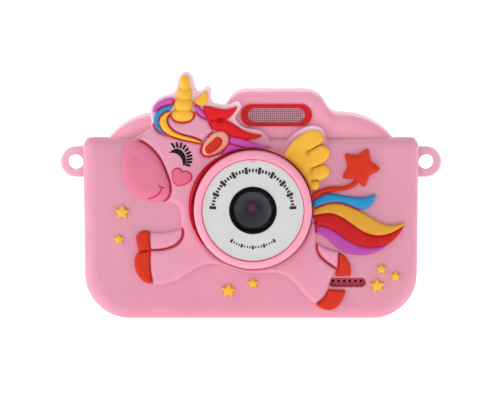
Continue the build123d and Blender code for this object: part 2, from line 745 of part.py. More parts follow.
# ---------------------------------------------------------------- silicone jacket
# Outlines are lists of smooth curves that meet at corners, as (x, z) points; two points make a
# straight edge, and one closed smooth curve is a list of points alone.
HEAD_PLATE = [
    [(-37.5, 54.0), (-36.0, 56.2), (-32.6, 58.2), (-31.0, 60.2), (-31.2, 63.6), (-30.9, 65.9), (-29.0, 68.2),
     (-25.9, 69.6), (-24.0, 70.3), (-23.1, 72.2), (-22.1, 75.5), (-20.2, 76.8), (-18.3, 75.7), (-17.4, 72.6),
     (-16.2, 70.8), (-14.9, 71.2), (-13.6, 72.3), (-12.4, 71.6), (-12.4, 69.3), (-11.8, 67.5), (-9.0, 66.7),
     (-6.6, 66.5), (-4.1, 67.5), (-3.1, 66.5), (-3.8, 64.4), (-4.9, 62.2), (-4.2, 60.9), (-1.6, 59.2),
     (2.6, 58.5), (4.4, 57.5), (5.8, 54.0)],
    [(5.8, 54.0), (-37.5, 54.0)],
]
WING_PLATE = [
    [(10.6, 54.0), (12.2, 56.4), (14.6, 58.3), (17.4, 59.6), (20.4, 59.8), (22.5, 58.6), (23.3, 56.6), (24.6, 54.0)],
    [(24.6, 54.0), (10.6, 54.0)],
]


def outline_sketch(depth, outlines):
    """Faces bounded by smooth curves, on a plane at a depth."""
    with BuildSketch(depth_plane(depth)) as sketch:
        for curves in outlines:
            with BuildLine():
                if isinstance(curves[0], tuple):
                    Spline(*curves, periodic=True)
                else:
                    for points in curves:
                        if len(points) == 2:
                            Line(*points)
                        else:
                            Spline(*points)
            make_face()
    return sketch.sketch


def jacket_outline(depth, inset, top, corner):
    """Tapered front outline of the jacket, drawn in by an inset and carried up to a height."""
    top_half = JACKET_TOP_HALF - inset
    bottom_half = JACKET_BOTTOM_HALF - inset
    bottom = JACKET_BOTTOM + inset
    with BuildSketch(depth_plane(depth)) as outline:
        with BuildLine():
            FilletPolyline((-bottom_half, bottom), (bottom_half, bottom), (top_half, top), (-top_half, top),
                           radius=[corner, corner, 0, 0], close=True)
        make_face()
    return outline.sketch


def upright_plate(outlines):
    """Free-standing plate in the plane of the front panel, with softly rounded front edges."""
    with BuildPart() as plate:
        extrude(outline_sketch(JACKET_FRONT, [outlines]), amount=-JACKET_WALL - 0.1)
        front_rim = plate.faces().sort_by(Axis.Y)[0].outer_wire().edges().filter_by(GeomType.BSPLINE)
        fillet(front_rim, 0.5)
    return plate.part


def lanyard_loop(side):
    """Eye with softened edges that grows out of the side wall."""
    with BuildPart() as loop:
        with BuildSketch(depth_plane(LOOP_DEPTH / 2)):
            with Locations((side * LOOP_X, LOOP_Z)):
                Circle(LOOP_RADIUS)
            with Locations((side * (LOOP_X - 2.0), LOOP_Z)):
                Rectangle(4.0, 2 * LOOP_RADIUS)
            with Locations((side * LOOP_X, LOOP_Z)):
                Circle(LOOP_HOLE_RADIUS, mode=Mode.SUBTRACT)
        extrude(amount=-LOOP_DEPTH)
        with BuildSketch(depth_plane(LOOP_DEPTH / 2)):
            with Locations((side * (LOOP_X - 4.5), LOOP_Z)):
                Rectangle(2.0, 4 * LOOP_RADIUS)
        extrude(amount=-LOOP_DEPTH, mode=Mode.SUBTRACT)
        rims = loop.edges().filter_by(GeomType.CIRCLE).filter_by(lambda edge: edge.radius > LOOP_HOLE_RADIUS + 1.0)
        fillet(rims, 0.8)
    return loop.part


head_plate = upright_plate(HEAD_PLATE)
wing_plate = upright_plate(WING_PLATE)
lanyard_loops = [lanyard_loop(side) for side in (-1, 1)]

with BuildPart() as silicone_jacket:
    extrude(jacket_outline(JACKET_FRONT, 0.0, 66.0, JACKET_CORNER), amount=JACKET_BACK - JACKET_FRONT)
    front_rim = silicone_jacket.faces().sort_by(Axis.Y)[0].outer_wire().edges()
    back_rim = silicone_jacket.faces().sort_by(Axis.Y)[-1].outer_wire().edges()
    fillet(front_rim.filter_by(lambda edge: edge.center().Z < 65.0), 4.5)
    fillet(back_rim.filter_by(lambda edge: edge.center().Z < 65.0), 3.5)
    with BuildSketch(Plane.XY.offset(JACKET_TOP)):
        Rectangle(130.0, 60.0)
    extrude(amount=20.0, mode=Mode.SUBTRACT)
    top_corners = silicone_jacket.edges().filter_by(Axis.Y).filter_by(lambda edge: edge.center().Z > JACKET_TOP - 0.1)
    fillet(top_corners, JACKET_TOP_CORNER)
    # the rim falls away towards the back
    with BuildSketch(Plane.YZ.offset(-65.0)):
        with BuildLine():
            Polyline((-BODY_FRONT, JACKET_TOP), (-JACKET_BACK, JACKET_BACK_TOP), (-JACKET_BACK, JACKET_TOP + 1.0),
                     (-BODY_FRONT, JACKET_TOP + 1.0), close=True)
        make_face()
    extrude(amount=130.0, mode=Mode.SUBTRACT)
    # room for the camera, open at the top and, inside a lip, at the back
    extrude(jacket_outline(BODY_FRONT + JACKET_CLEARANCE, JACKET_WALL, 70.0, JACKET_CORNER - JACKET_WALL),
            amount=BODY_BACK - BODY_FRONT - 2 * JACKET_CLEARANCE, mode=Mode.SUBTRACT)
    extrude(jacket_outline(BODY_BACK, BACK_LIP, 70.0, JACKET_CORNER - BACK_LIP), amount=-10.0, mode=Mode.SUBTRACT)
    for loop in lanyard_loops:
        add(loop)
    # openings for the lens, the speaker and the sockets
    with BuildSketch(depth_plane(JACKET_FRONT + 0.1)):
        with Locations((LENS_X - 0.2, LENS_Z)):
            Circle(LENS_OPENING_RADIUS)
    extrude(amount=-3.0, mode=Mode.SUBTRACT)
    extrude(stadium(JACKET_FRONT + 0.1, (SLOT_X, SLOT_Z), SLOT_WIDTH, SLOT_HEIGHT), amount=-3.0, mode=Mode.SUBTRACT)
    with BuildSketch(Plane.YZ.offset(BODY_HALF_WIDTH - 0.5)):
        with Locations((6.7, 31.0)):
            RectangleRounded(8.4, 27.0, 3.0)
    extrude(amount=6.0, mode=Mode.SUBTRACT)
    add(head_plate)
    add(wing_plate)
save(silicone_jacket.part, "silicone_jacket")


# ---------------------------------------------------------------- unicorn relief, moulded on the jacket
UNICORN_BODY = [
    # chin, chest and the line between the two forelegs
    [(-27.2, 36.0), (-24.0, 35.9), (-22.4, 34.7), (-21.8, 32.0), (-21.3, 28.0)],
    [(-21.3, 28.0), (-21.0, 25.8), (-22.6, 23.1), (-25.6, 21.6), (-31.3, 21.0)],
    # edge of the near hoof, belly, edge of the rear hoof
    [(-31.3, 21.0), (-31.5, 16.5), (-30.6, 10.7)],
    [(-30.6, 10.7), (-27.0, 10.5), (-22.5, 12.1), (-17.0, 15.4), (-12.0, 16.9), (-6.0, 15.6), (1.0, 14.0),
     (9.0, 13.8), (12.4, 12.0), (16.0, 8.2), (20.2, 4.4)],
    [(20.2, 4.4), (22.6, 6.2), (24.2, 9.0)],
    # back of the near rear leg, thigh, and across the lens opening to the mane
    [(24.2, 9.0), (24.6, 11.4), (26.9, 14.9)],
    [(26.9, 14.9), (23.6, 17.1), (20.9, 19.9), (20.2, 23.5), (19.8, 29.5)],
    [(19.8, 29.5), (-4.0, 44.0)],
    [(-4.0, 44.0), (-9.3, 51.4)],
    # round the ear, along the yellow lock and up the muzzle
    [(-9.3, 51.4), (-11.8, 50.6), (-14.2, 50.3), (-15.5, 51.3), (-15.0, 54.0)],
    [(-15.0, 54.0), (-20.8, 55.4), (-24.0, 56.2), (-26.2, 57.0)],
    [(-26.2, 57.0), (-28.9, 58.0), (-30.5, 61.0)],
    [(-30.5, 61.0), (-31.8, 58.7), (-35.0, 55.9)],
    [(-35.0, 55.9), (-31.0, 53.4), (-27.7, 49.2), (-25.8, 44.6), (-24.8, 40.6), (-25.6, 37.6), (-27.2, 36.0)],
]
FOREHEAD = [
    [(-25.1, 63.2), (-25.8, 61.4), (-24.2, 58.8), (-19.0, 56.8), (-15.0, 55.3)],
    [(-15.0, 55.3), (-13.4, 57.0), (-11.7, 58.4)],
    [(-11.7, 58.4), (-12.7, 60.2), (-13.4, 61.6)],
    [(-13.4, 61.6), (-15.6, 62.8), (-17.3, 64.3)],
    [(-17.3, 64.3), (-18.1, 62.1), (-21.2, 60.8), (-24.3, 61.9), (-25.1, 63.2)],
]
FAR_FORELEG = [
    [(-31.4, 26.8), (-29.0, 26.6), (-26.0, 26.8), (-23.2, 27.4), (-21.7, 28.2)],
    [(-21.7, 28.2), (-21.4, 26.0), (-23.0, 23.5), (-25.8, 22.0), (-31.3, 21.4)],
    [(-31.3, 21.4), (-31.6, 24.0), (-31.4, 26.8)],
]
FAR_REAR_LEG = [
    [(20.7, 23.3), (23.0, 22.0), (27.2, 20.7)],
    [(27.2, 20.7), (27.3, 17.8), (26.9, 15.3)],
    [(26.9, 15.3), (23.9, 17.4), (21.3, 20.1), (20.7, 23.3)],
]
MUZZLE = [(-35.3, 55.4), (-31.3, 53.0), (-28.0, 48.8), (-26.1, 44.4), (-25.2, 40.6), (-25.9, 37.5), (-28.5, 36.2),
          (-32.0, 36.5), (-36.2, 38.6), (-39.2, 42.2), (-40.3, 47.2), (-39.7, 52.0), (-37.9, 54.8)]
# horn segments as (x, z, half width, half height)
HORN = [
    (-21.25, 63.3, 3.65, 2.2),
    (-20.95, 66.9, 3.05, 2.0),
    (-20.65, 70.2, 2.45, 1.95),
    (-20.55, 73.2, 1.65, 2.45),
]
TUFT = [
    [(-17.4, 67.9), (-16.4, 68.8), (-15.0, 69.8), (-13.8, 70.9)],
    [(-13.8, 70.9), (-13.5, 68.9), (-13.8, 67.1), (-15.2, 66.1)],
    [(-15.2, 66.1), (-16.3, 66.4), (-17.3, 67.2), (-17.4, 67.9)],
]
PURPLE_LOCKS = [
    # over the forehead
    [[(-30.5, 63.9), (-30.2, 65.7), (-28.5, 67.4), (-26.2, 68.4), (-23.9, 68.6)],
     [(-23.9, 68.6), (-24.3, 66.8)],
     [(-24.3, 66.8), (-26.5, 66.5), (-28.6, 65.5), (-30.5, 63.9)]],
    # right of the horn
    [[(-17.8, 66.3), (-15.9, 65.6), (-14.5, 63.9), (-13.3, 61.9)],
     [(-13.3, 61.9), (-15.3, 63.0), (-17.3, 64.9), (-17.8, 66.3)]],
    # behind the ear, upper and lower
    [[(-6.2, 56.6), (-4.0, 56.2), (-1.5, 55.5), (1.5, 54.4), (6.6, 53.4)],
     [(6.6, 53.4), (1.5, 53.1), (-2.2, 53.4), (-6.7, 54.8)],
     [(-6.7, 54.8), (-6.5, 55.7), (-6.2, 56.6)]],
    [[(-6.9, 54.3), (-5.0, 53.9), (-1.8, 53.1)],
     [(-1.8, 53.1), (-5.2, 52.4), (-8.7, 50.9)],
     [(-8.7, 50.9), (-8.4, 52.1), (-7.4, 53.5), (-6.9, 54.3)]],
]
BLUE_LOCK = [
    [(-24.4, 66.4), (-26.3, 66.1), (-28.3, 65.1), (-29.8, 63.3), (-30.0, 60.5), (-28.6, 58.4), (-26.3, 57.2)],
    [(-26.3, 57.2), (-28.1, 59.3), (-28.8, 61.3), (-28.2, 63.2), (-26.6, 64.6), (-24.7, 65.3)],
    [(-24.7, 65.3), (-24.4, 66.4)],
]
YELLOW_LOCK = [
    [(-24.9, 64.5), (-27.0, 63.7), (-28.3, 62.1), (-28.3, 60.2), (-26.4, 57.9), (-23.0, 56.3), (-19.0, 55.3),
     (-14.8, 54.5)],
    [(-14.8, 54.5), (-17.8, 56.0), (-21.8, 57.2), (-24.7, 58.8), (-26.2, 61.3), (-25.1, 64.0)],
    [(-25.1, 64.0), (-24.9, 64.5)],
]
RED_LOCKS = [
    [[(-14.9, 65.9), (-12.0, 65.8), (-8.5, 65.1), (-6.0, 65.4), (-4.2, 66.1)],
     [(-4.2, 66.1), (-4.9, 64.6), (-6.2, 63.0), (-7.6, 61.8)],
     [(-7.6, 61.8), (-13.0, 61.8)],
     [(-13.0, 61.8), (-14.0, 63.8), (-14.9, 65.9)]],
    [[(-12.9, 61.5), (-7.4, 61.5)],
     [(-7.4, 61.5), (-5.0, 60.3), (-2.4, 58.6), (0.4, 57.6), (3.5, 57.0)],
     [(3.5, 57.0), (1.8, 56.1), (-1.0, 55.9), (-4.2, 56.4), (-6.6, 57.1)],
     [(-6.6, 57.1), (-8.2, 58.5), (-11.3, 58.6)],
     [(-11.3, 58.6), (-12.3, 60.0), (-12.9, 61.5)]],
]
EAR = [(-10.0, 58.3), (-7.7, 57.7), (-6.9, 55.8), (-7.8, 53.4), (-9.8, 51.8), (-12.6, 50.8), (-14.8, 51.1),
       (-15.1, 53.0), (-13.7, 55.6), (-11.8, 57.6)]
EAR_INNER = [(-9.9, 56.2), (-9.2, 55.1), (-9.9, 53.8), (-11.6, 52.4), (-13.4, 51.7), (-13.9, 52.5), (-12.7, 54.4),
             (-11.2, 55.8)]
EYE = [
    [(-25.4, 51.5), (-24.6, 52.3), (-23.0, 52.9), (-21.3, 52.1), (-20.3, 50.3), (-20.5, 47.8)],
    [(-20.5, 47.8), (-21.2, 47.8)],
    [(-21.2, 47.8), (-21.5, 49.5), (-22.6, 51.0), (-24.1, 51.6), (-25.4, 51.5)],
]
# lashes from root to tip
LASHES = [
    ((-23.8, 53.3), (-24.6, 54.5)),
    ((-22.8, 53.4), (-23.1, 54.7)),
    ((-21.9, 53.3), (-21.6, 54.6)),
    ((-21.1, 52.9), (-20.4, 53.9)),
    ((-20.4, 52.2), (-19.6, 52.9)),
    ((-20.0, 51.3), (-18.9, 51.8)),
    ((-19.8, 50.4), (-18.5, 50.8)),
    ((-19.8, 49.5), (-18.4, 49.7)),
    ((-19.9, 48.7), (-18.5, 48.7)),
    ((-20.2, 47.9), (-19.0, 47.6)),
]
LASH_WIDTH = 0.62
HEART = [
    [(-21.5, 45.3), (-20.1, 45.7), (-18.8, 44.9), (-18.7, 43.5), (-20.0, 42.3), (-22.4, 41.5)],
    [(-22.4, 41.5), (-23.5, 42.1), (-24.2, 44.2), (-24.0, 46.1), (-22.8, 46.7), (-21.5, 45.3)],
]
WING = [
    [(10.4, 51.0), (12.5, 54.3), (16.0, 57.2), (20.0, 58.5), (22.3, 57.1), (20.3, 53.5)],
    [(20.3, 53.5), (23.0, 53.6), (24.5, 52.2), (23.8, 50.0), (21.6, 47.8)],
    [(21.6, 47.8), (23.9, 47.1), (24.5, 45.3), (23.0, 43.5), (20.2, 42.9)],
    [(20.2, 42.9), (21.3, 41.7), (20.9, 40.4), (19.2, 40.0)],
    [(19.2, 40.0), (12.0, 42.0)],
    [(12.0, 42.0), (10.4, 51.0)],
]
# grooves between the feathers, as (root, mouth)
FEATHER_GROOVES = [
    ((17.4, 51.7), (20.9, 53.8)),
    ((18.7, 46.6), (22.2, 48.0)),
    ((18.9, 42.9), (20.8, 43.0)),
]
BIG_STAR = (33.9, 47.0, 6.6, 3.85, 67.0)
RIBBON = [
    [(33.5, 44.6), (31.6, 42.4), (29.4, 41.2), (25.5, 41.0), (22.0, 40.2), (18.0, 37.6)],
    [(18.0, 37.6), (17.6, 36.0)],
    [(17.6, 36.0), (20.2, 37.6), (22.5, 39.0), (25.5, 39.5), (29.0, 39.8), (31.6, 40.7), (34.5, 44.0)],
    [(34.5, 44.0), (33.5, 44.6)],
]
BLUE_TAIL = [
    [(17.5, 35.6), (20.5, 37.4), (23.8, 38.8), (27.5, 38.4), (32.0, 37.7), (38.8, 38.7)],
    [(38.8, 38.7), (37.8, 35.8), (35.2, 34.0), (32.0, 34.7), (28.0, 36.1), (24.0, 35.9), (17.5, 33.0)],
    [(17.5, 33.0), (17.5, 35.6)],
]
YELLOW_TAIL_TOP = [(17.5, 32.8), (20.5, 34.3), (24.5, 35.7), (28.5, 35.5), (33.0, 33.8), (37.5, 31.3), (42.0, 29.1),
                   (45.0, 29.0), (47.9, 29.9)]
YELLOW_RED_EDGE = [(17.5, 31.6), (21.0, 32.3), (24.5, 32.7), (28.0, 31.6), (32.0, 28.9), (36.0, 26.5), (40.0, 25.7),
                   (44.5, 26.9), (47.6, 28.8)]
RED_PURPLE_EDGE = [(20.3, 28.9), (24.0, 28.2), (28.5, 25.4), (33.0, 22.9), (38.0, 22.1), (43.2, 23.4)]
PURPLE_TAIL_BOTTOM = [(20.5, 26.4), (23.5, 24.9), (27.5, 21.4), (31.0, 20.0), (35.5, 19.7), (40.0, 21.0),
                      (43.2, 23.4)]
YELLOW_TAIL = [
    YELLOW_TAIL_TOP,
    [(47.9, 29.9), (47.6, 28.8)],
    YELLOW_RED_EDGE,
    [(17.5, 31.6), (17.5, 32.8)],
]
RED_TAIL = [
    YELLOW_RED_EDGE,
    [(47.6, 28.8), (45.8, 25.8), (43.2, 23.4)],
    RED_PURPLE_EDGE,
    [(20.3, 28.9), (20.1, 30.8)],
    [(20.1, 30.8), (17.5, 31.0)],
    [(17.5, 31.0), (17.5, 31.6)],
]
PURPLE_TAIL = [
    RED_PURPLE_EDGE,
    PURPLE_TAIL_BOTTOM,
    [(20.5, 26.4), (20.3, 28.9)],
]
HOOVES = [
    # far fore hoof
    [[(-31.5, 26.9), (-34.2, 26.9), (-35.5, 25.9), (-35.6, 23.6), (-35.1, 20.7)],
     [(-35.1, 20.7), (-33.4, 21.0), (-31.4, 21.3)],
     [(-31.4, 21.3), (-31.7, 24.0), (-31.5, 26.9)]],
    # near fore hoof
    [[(-35.3, 20.3), (-33.2, 20.7), (-31.4, 20.9)],
     [(-31.4, 20.9), (-31.6, 16.5), (-30.7, 10.8)],
     [(-30.7, 10.8), (-33.2, 11.2), (-35.5, 13.9), (-36.3, 17.6), (-35.3, 20.3)]],
    # far rear hoof, whose lower end stops at the speaker slot
    [[(27.4, 20.4), (29.4, 19.0), (31.0, 15.8), (30.9, 13.0)],
     [(30.9, 13.0), (26.4, 12.9)],
     [(26.4, 12.9), (27.1, 15.0), (27.5, 17.8), (27.4, 20.4)]],
    # near rear hoof
    [[(24.3, 8.8), (29.4, 8.6)],
     [(29.4, 8.6), (28.2, 5.0), (25.2, 2.4), (22.4, 2.7), (20.3, 4.2)],
     [(20.3, 4.2), (22.8, 6.0), (24.3, 8.8)]],
]
# small stars as (x, z, outer radius, tilt of the first tip)
SMALL_STARS = [
    (-40.1, 33.0, 2.6, 88.0),
    (-41.2, 24.5, 1.9, 92.0),
    (-7.0, 8.4, 2.6, 84.0),
    (0.7, 10.7, 1.95, 92.0),
    (40.7, 15.2, 1.9, 90.0),
    (45.0, 12.9, 1.9, 86.0),
    (39.4, 10.0, 2.6, 92.0),
]


def lens_clearance(depth):
    """Disc that keeps the relief clear of the lens opening."""
    return discs(depth, [(LENS_X - 0.2, LENS_Z)], LENS_OPENING_RADIUS + 0.2)


def relief(label, outlines, depth=JACKET_FRONT, height=RELIEF_LOCK):
    """Raised patches on the jacket, cut back from the lens opening."""
    with BuildPart() as patch:
        extrude(outline_sketch(depth, outlines), amount=height)
        extrude(lens_clearance(depth - 0.5), amount=height + 1.0, mode=Mode.SUBTRACT)
    save(patch.part, label)


def star_corners(x, z, outer, inner, tilt):
    """Ten corners of a five-pointed star."""
    corners = []
    for step in range(10):
        radius = outer if step % 2 == 0 else inner
        angle = radians(tilt + 36.0 * step)
        corners.append((x + radius * cos(angle), z + radius * sin(angle)))
    return corners


def star_sketch(depth, stars, rounding):
    """Stars with rounded tips."""
    with BuildSketch(depth_plane(depth)) as sketch:
        for star in stars:
            with BuildLine():
                FilletPolyline(*star_corners(*star), radius=rounding, close=True)
            make_face()
    return sketch.sketch


relief("unicorn_body", [UNICORN_BODY, FOREHEAD, FAR_FORELEG, FAR_REAR_LEG], height=RELIEF_BODY)
relief("muzzle", [MUZZLE])
relief("forehead_tuft", [TUFT])
relief("mane_purple", PURPLE_LOCKS)
relief("mane_blue", [BLUE_LOCK])
relief("mane_yellow", [YELLOW_LOCK])
relief("mane_red", RED_LOCKS)
relief("ear_outer", [EAR])
relief("ear_inner", [EAR_INNER], depth=JACKET_FRONT + RELIEF_LOCK, height=RELIEF_INLAY)
relief("cheek_heart", [HEART], depth=JACKET_FRONT + RELIEF_BODY, height=RELIEF_INLAY)
relief("hooves", HOOVES)
relief("tail_blue", [BLUE_TAIL])
relief("tail_yellow", [YELLOW_TAIL])
relief("tail_red", [RED_TAIL])
relief("tail_purple", [PURPLE_TAIL])

with BuildPart() as horn:
    for x, z, half_width, half_height in HORN:
        with BuildSketch(depth_plane(JACKET_FRONT)):
            with Locations((x, z)):
                Ellipse(half_width, half_height)
        extrude(amount=RELIEF_HORN)
save(horn.part, "horn")

with BuildPart() as closed_eye:
    eye_depth = JACKET_FRONT + RELIEF_BODY
    extrude(outline_sketch(eye_depth, [EYE]), amount=RELIEF_INLAY)
    for root, tip in LASHES:
        with BuildSketch(depth_plane(eye_depth)):
            SlotCenterPoint(((root[0] + tip[0]) / 2, (root[1] + tip[1]) / 2), tip, LASH_WIDTH)
        extrude(amount=RELIEF_INLAY)
save(closed_eye.part, "closed_eye")

with BuildPart() as wing:
    extrude(outline_sketch(JACKET_FRONT, [WING]), amount=RELIEF_LOCK)
    extrude(lens_clearance(JACKET_FRONT - 0.5), amount=RELIEF_LOCK + 1.0, mode=Mode.SUBTRACT)
    for root, mouth in FEATHER_GROOVES:
        with BuildSketch(depth_plane(JACKET_FRONT)):
            with BuildLine():
                Polyline(root, (mouth[0], mouth[1] + 0.25), (mouth[0], mouth[1] - 0.25), close=True)
            make_face()
        extrude(amount=RELIEF_LOCK, mode=Mode.SUBTRACT)
save(wing.part, "wing")

with BuildPart() as shooting_star:
    extrude(star_sketch(JACKET_FRONT, [BIG_STAR], 0.5), amount=RELIEF_LOCK)
    extrude(outline_sketch(JACKET_FRONT, [RIBBON]), amount=RELIEF_LOCK)
    extrude(lens_clearance(JACKET_FRONT - 0.5), amount=RELIEF_LOCK + 1.0, mode=Mode.SUBTRACT)
save(shooting_star.part, "shooting_star")

with BuildPart() as small_stars:
    stars = [(x, z, outer, 0.52 * outer, tilt) for x, z, outer, tilt in SMALL_STARS]
    extrude(star_sketch(JACKET_FRONT, stars, 0.2), amount=RELIEF_BODY)
save(small_stars.part, "small_stars")
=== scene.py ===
import bmesh
import bpy
import json
import math
import numpy as np
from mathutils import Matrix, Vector
from mathutils.geometry import delaunay_2d_cdt


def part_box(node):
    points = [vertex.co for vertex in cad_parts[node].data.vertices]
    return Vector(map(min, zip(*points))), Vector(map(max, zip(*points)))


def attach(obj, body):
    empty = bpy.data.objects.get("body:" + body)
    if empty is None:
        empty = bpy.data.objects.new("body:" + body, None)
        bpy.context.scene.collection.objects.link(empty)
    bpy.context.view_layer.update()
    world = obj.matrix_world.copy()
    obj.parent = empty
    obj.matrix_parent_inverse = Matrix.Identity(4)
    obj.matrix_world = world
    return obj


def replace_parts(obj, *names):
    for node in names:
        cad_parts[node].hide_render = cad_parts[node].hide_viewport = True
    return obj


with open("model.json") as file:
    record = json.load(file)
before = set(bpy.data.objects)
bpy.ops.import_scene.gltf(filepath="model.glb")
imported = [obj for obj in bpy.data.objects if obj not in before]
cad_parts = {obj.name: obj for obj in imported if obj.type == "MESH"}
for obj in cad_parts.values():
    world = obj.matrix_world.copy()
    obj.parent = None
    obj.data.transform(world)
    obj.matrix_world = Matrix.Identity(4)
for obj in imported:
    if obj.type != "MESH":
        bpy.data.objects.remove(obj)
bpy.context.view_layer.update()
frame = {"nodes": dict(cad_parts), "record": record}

MM = 0.001
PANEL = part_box("unicorn_body")[1].y / MM
LENS_CENTRE = (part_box("lens_ring")[0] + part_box("lens_ring")[1]) / 2 / MM
ROOT = "camera"


# ------------------------------------------------------------------ materials
def linear(rgb):
    """Linear colour of an sRGB colour in 0..255."""
    shares = [channel / 255 for channel in rgb]
    return [s / 12.92 if s <= 0.04045 else ((s + 0.055) / 1.055) ** 2.4 for s in shares]


def finish(name, rgb, roughness=0.5, spread=0.06, patch=6.0, grain=0.25, bump=0.02, **sockets):
    """A moulded material: slow colour mottling, a fine grain in roughness and a shallow bump.

    patch and grain are the sizes of the mottling and of the grain in millimetres, and bump its height."""
    material = bpy.data.materials.new(name)
    material.use_nodes = True
    nodes, links = material.node_tree.nodes, material.node_tree.links
    shader = nodes["Principled BSDF"]
    for socket, value in sockets.items():
        shader.inputs[socket.replace("_", " ")].default_value = value
    place = nodes.new("ShaderNodeTexCoord")
    mottle = nodes.new("ShaderNodeTexNoise")
    mottle.inputs["Scale"].default_value = 1.0 / (patch * MM)
    mottle.inputs["Detail"].default_value = 3.0
    links.new(place.outputs["Object"], mottle.inputs["Vector"])
    ramp = nodes.new("ShaderNodeValToRGB")
    colour = linear(rgb)
    ramp.color_ramp.elements[0].position = 0.3
    ramp.color_ramp.elements[1].position = 0.7
    ramp.color_ramp.elements[0].color = [c * (1 - spread) for c in colour] + [1]
    ramp.color_ramp.elements[1].color = [min(c * (1 + spread), 1) for c in colour] + [1]
    links.new(mottle.outputs["Fac"], ramp.inputs["Fac"])
    links.new(ramp.outputs["Color"], shader.inputs["Base Color"])
    fine = nodes.new("ShaderNodeTexNoise")
    fine.inputs["Scale"].default_value = 1.0 / (grain * MM)
    fine.inputs["Detail"].default_value = 2.0
    links.new(place.outputs["Object"], fine.inputs["Vector"])
    rough = nodes.new("ShaderNodeMapRange")
    rough.inputs["To Min"].default_value = max(roughness - 0.07, 0.0)
    rough.inputs["To Max"].default_value = min(roughness + 0.07, 1.0)
    links.new(fine.outputs["Fac"], rough.inputs["Value"])
    links.new(rough.outputs["Result"], shader.inputs["Roughness"])
    relief = nodes.new("ShaderNodeBump")
    relief.inputs["Strength"].default_value = 0.5
    relief.inputs["Distance"].default_value = bump * MM
    links.new(fine.outputs["Fac"], relief.inputs["Height"])
    links.new(relief.outputs["Normal"], shader.inputs["Normal"])
    return material


def silicone(name, rgb, scatter=0.12):
    """Matte, slightly translucent moulded silicone."""
    return finish(
        name, rgb, roughness=0.5, spread=0.035, patch=14.0, grain=0.22, bump=0.012,
        Subsurface_Weight=scatter, Subsurface_Radius=(1.0, 0.45, 0.5), Subsurface_Scale=1.6 * MM,
        Specular_IOR_Level=0.24, Sheen_Weight=0.02, Sheen_Roughness=0.45,
    )


# where the jacket gets thin and gets a painted glow of light shining through it, in metres, and how far it
# blends there: the plates by height, the lanyard eyes by their distance from the middle
PLATE_GLOW = (0.0568, 0.0605, 1.0)
EYE_GLOW = (0.0515, 0.0545, 0.45)


def painted_glow_where_thin(material, rgb):
    """Blend the jacket towards a lighter colour in its upright plates and in its lanyard eyes: a painted
    glow of light through the thin silicone and off its edges.
    """
    nodes, links = material.node_tree.nodes, material.node_tree.links
    shader = nodes["Principled BSDF"]
    place = nodes.new("ShaderNodeTexCoord")
    parts = nodes.new("ShaderNodeSeparateXYZ")
    links.new(place.outputs["Object"], parts.inputs["Vector"])
    sideways = nodes.new("ShaderNodeMath")
    sideways.operation = "ABSOLUTE"
    links.new(parts.outputs["X"], sideways.inputs[0])
    either = nodes.new("ShaderNodeMath")
    either.operation = "MAXIMUM"
    fades = ((parts.outputs["Z"], *PLATE_GLOW), (sideways.outputs["Value"], *EYE_GLOW))
    for number, (source, first, last, most) in enumerate(fades):
        share = nodes.new("ShaderNodeMapRange")
        share.inputs["From Min"].default_value = first
        share.inputs["From Max"].default_value = last
        share.inputs["To Max"].default_value = most
        links.new(source, share.inputs["Value"])
        links.new(share.outputs["Result"], either.inputs[number])
    blend = nodes.new("ShaderNodeMixRGB")
    links.new(either.outputs["Value"], blend.inputs["Fac"])
    links.new(shader.inputs["Base Color"].links[0].from_socket, blend.inputs["Color1"])
    blend.inputs["Color2"].default_value = linear(rgb) + [1]
    links.new(blend.outputs["Color"], shader.inputs["Base Color"])
    return material


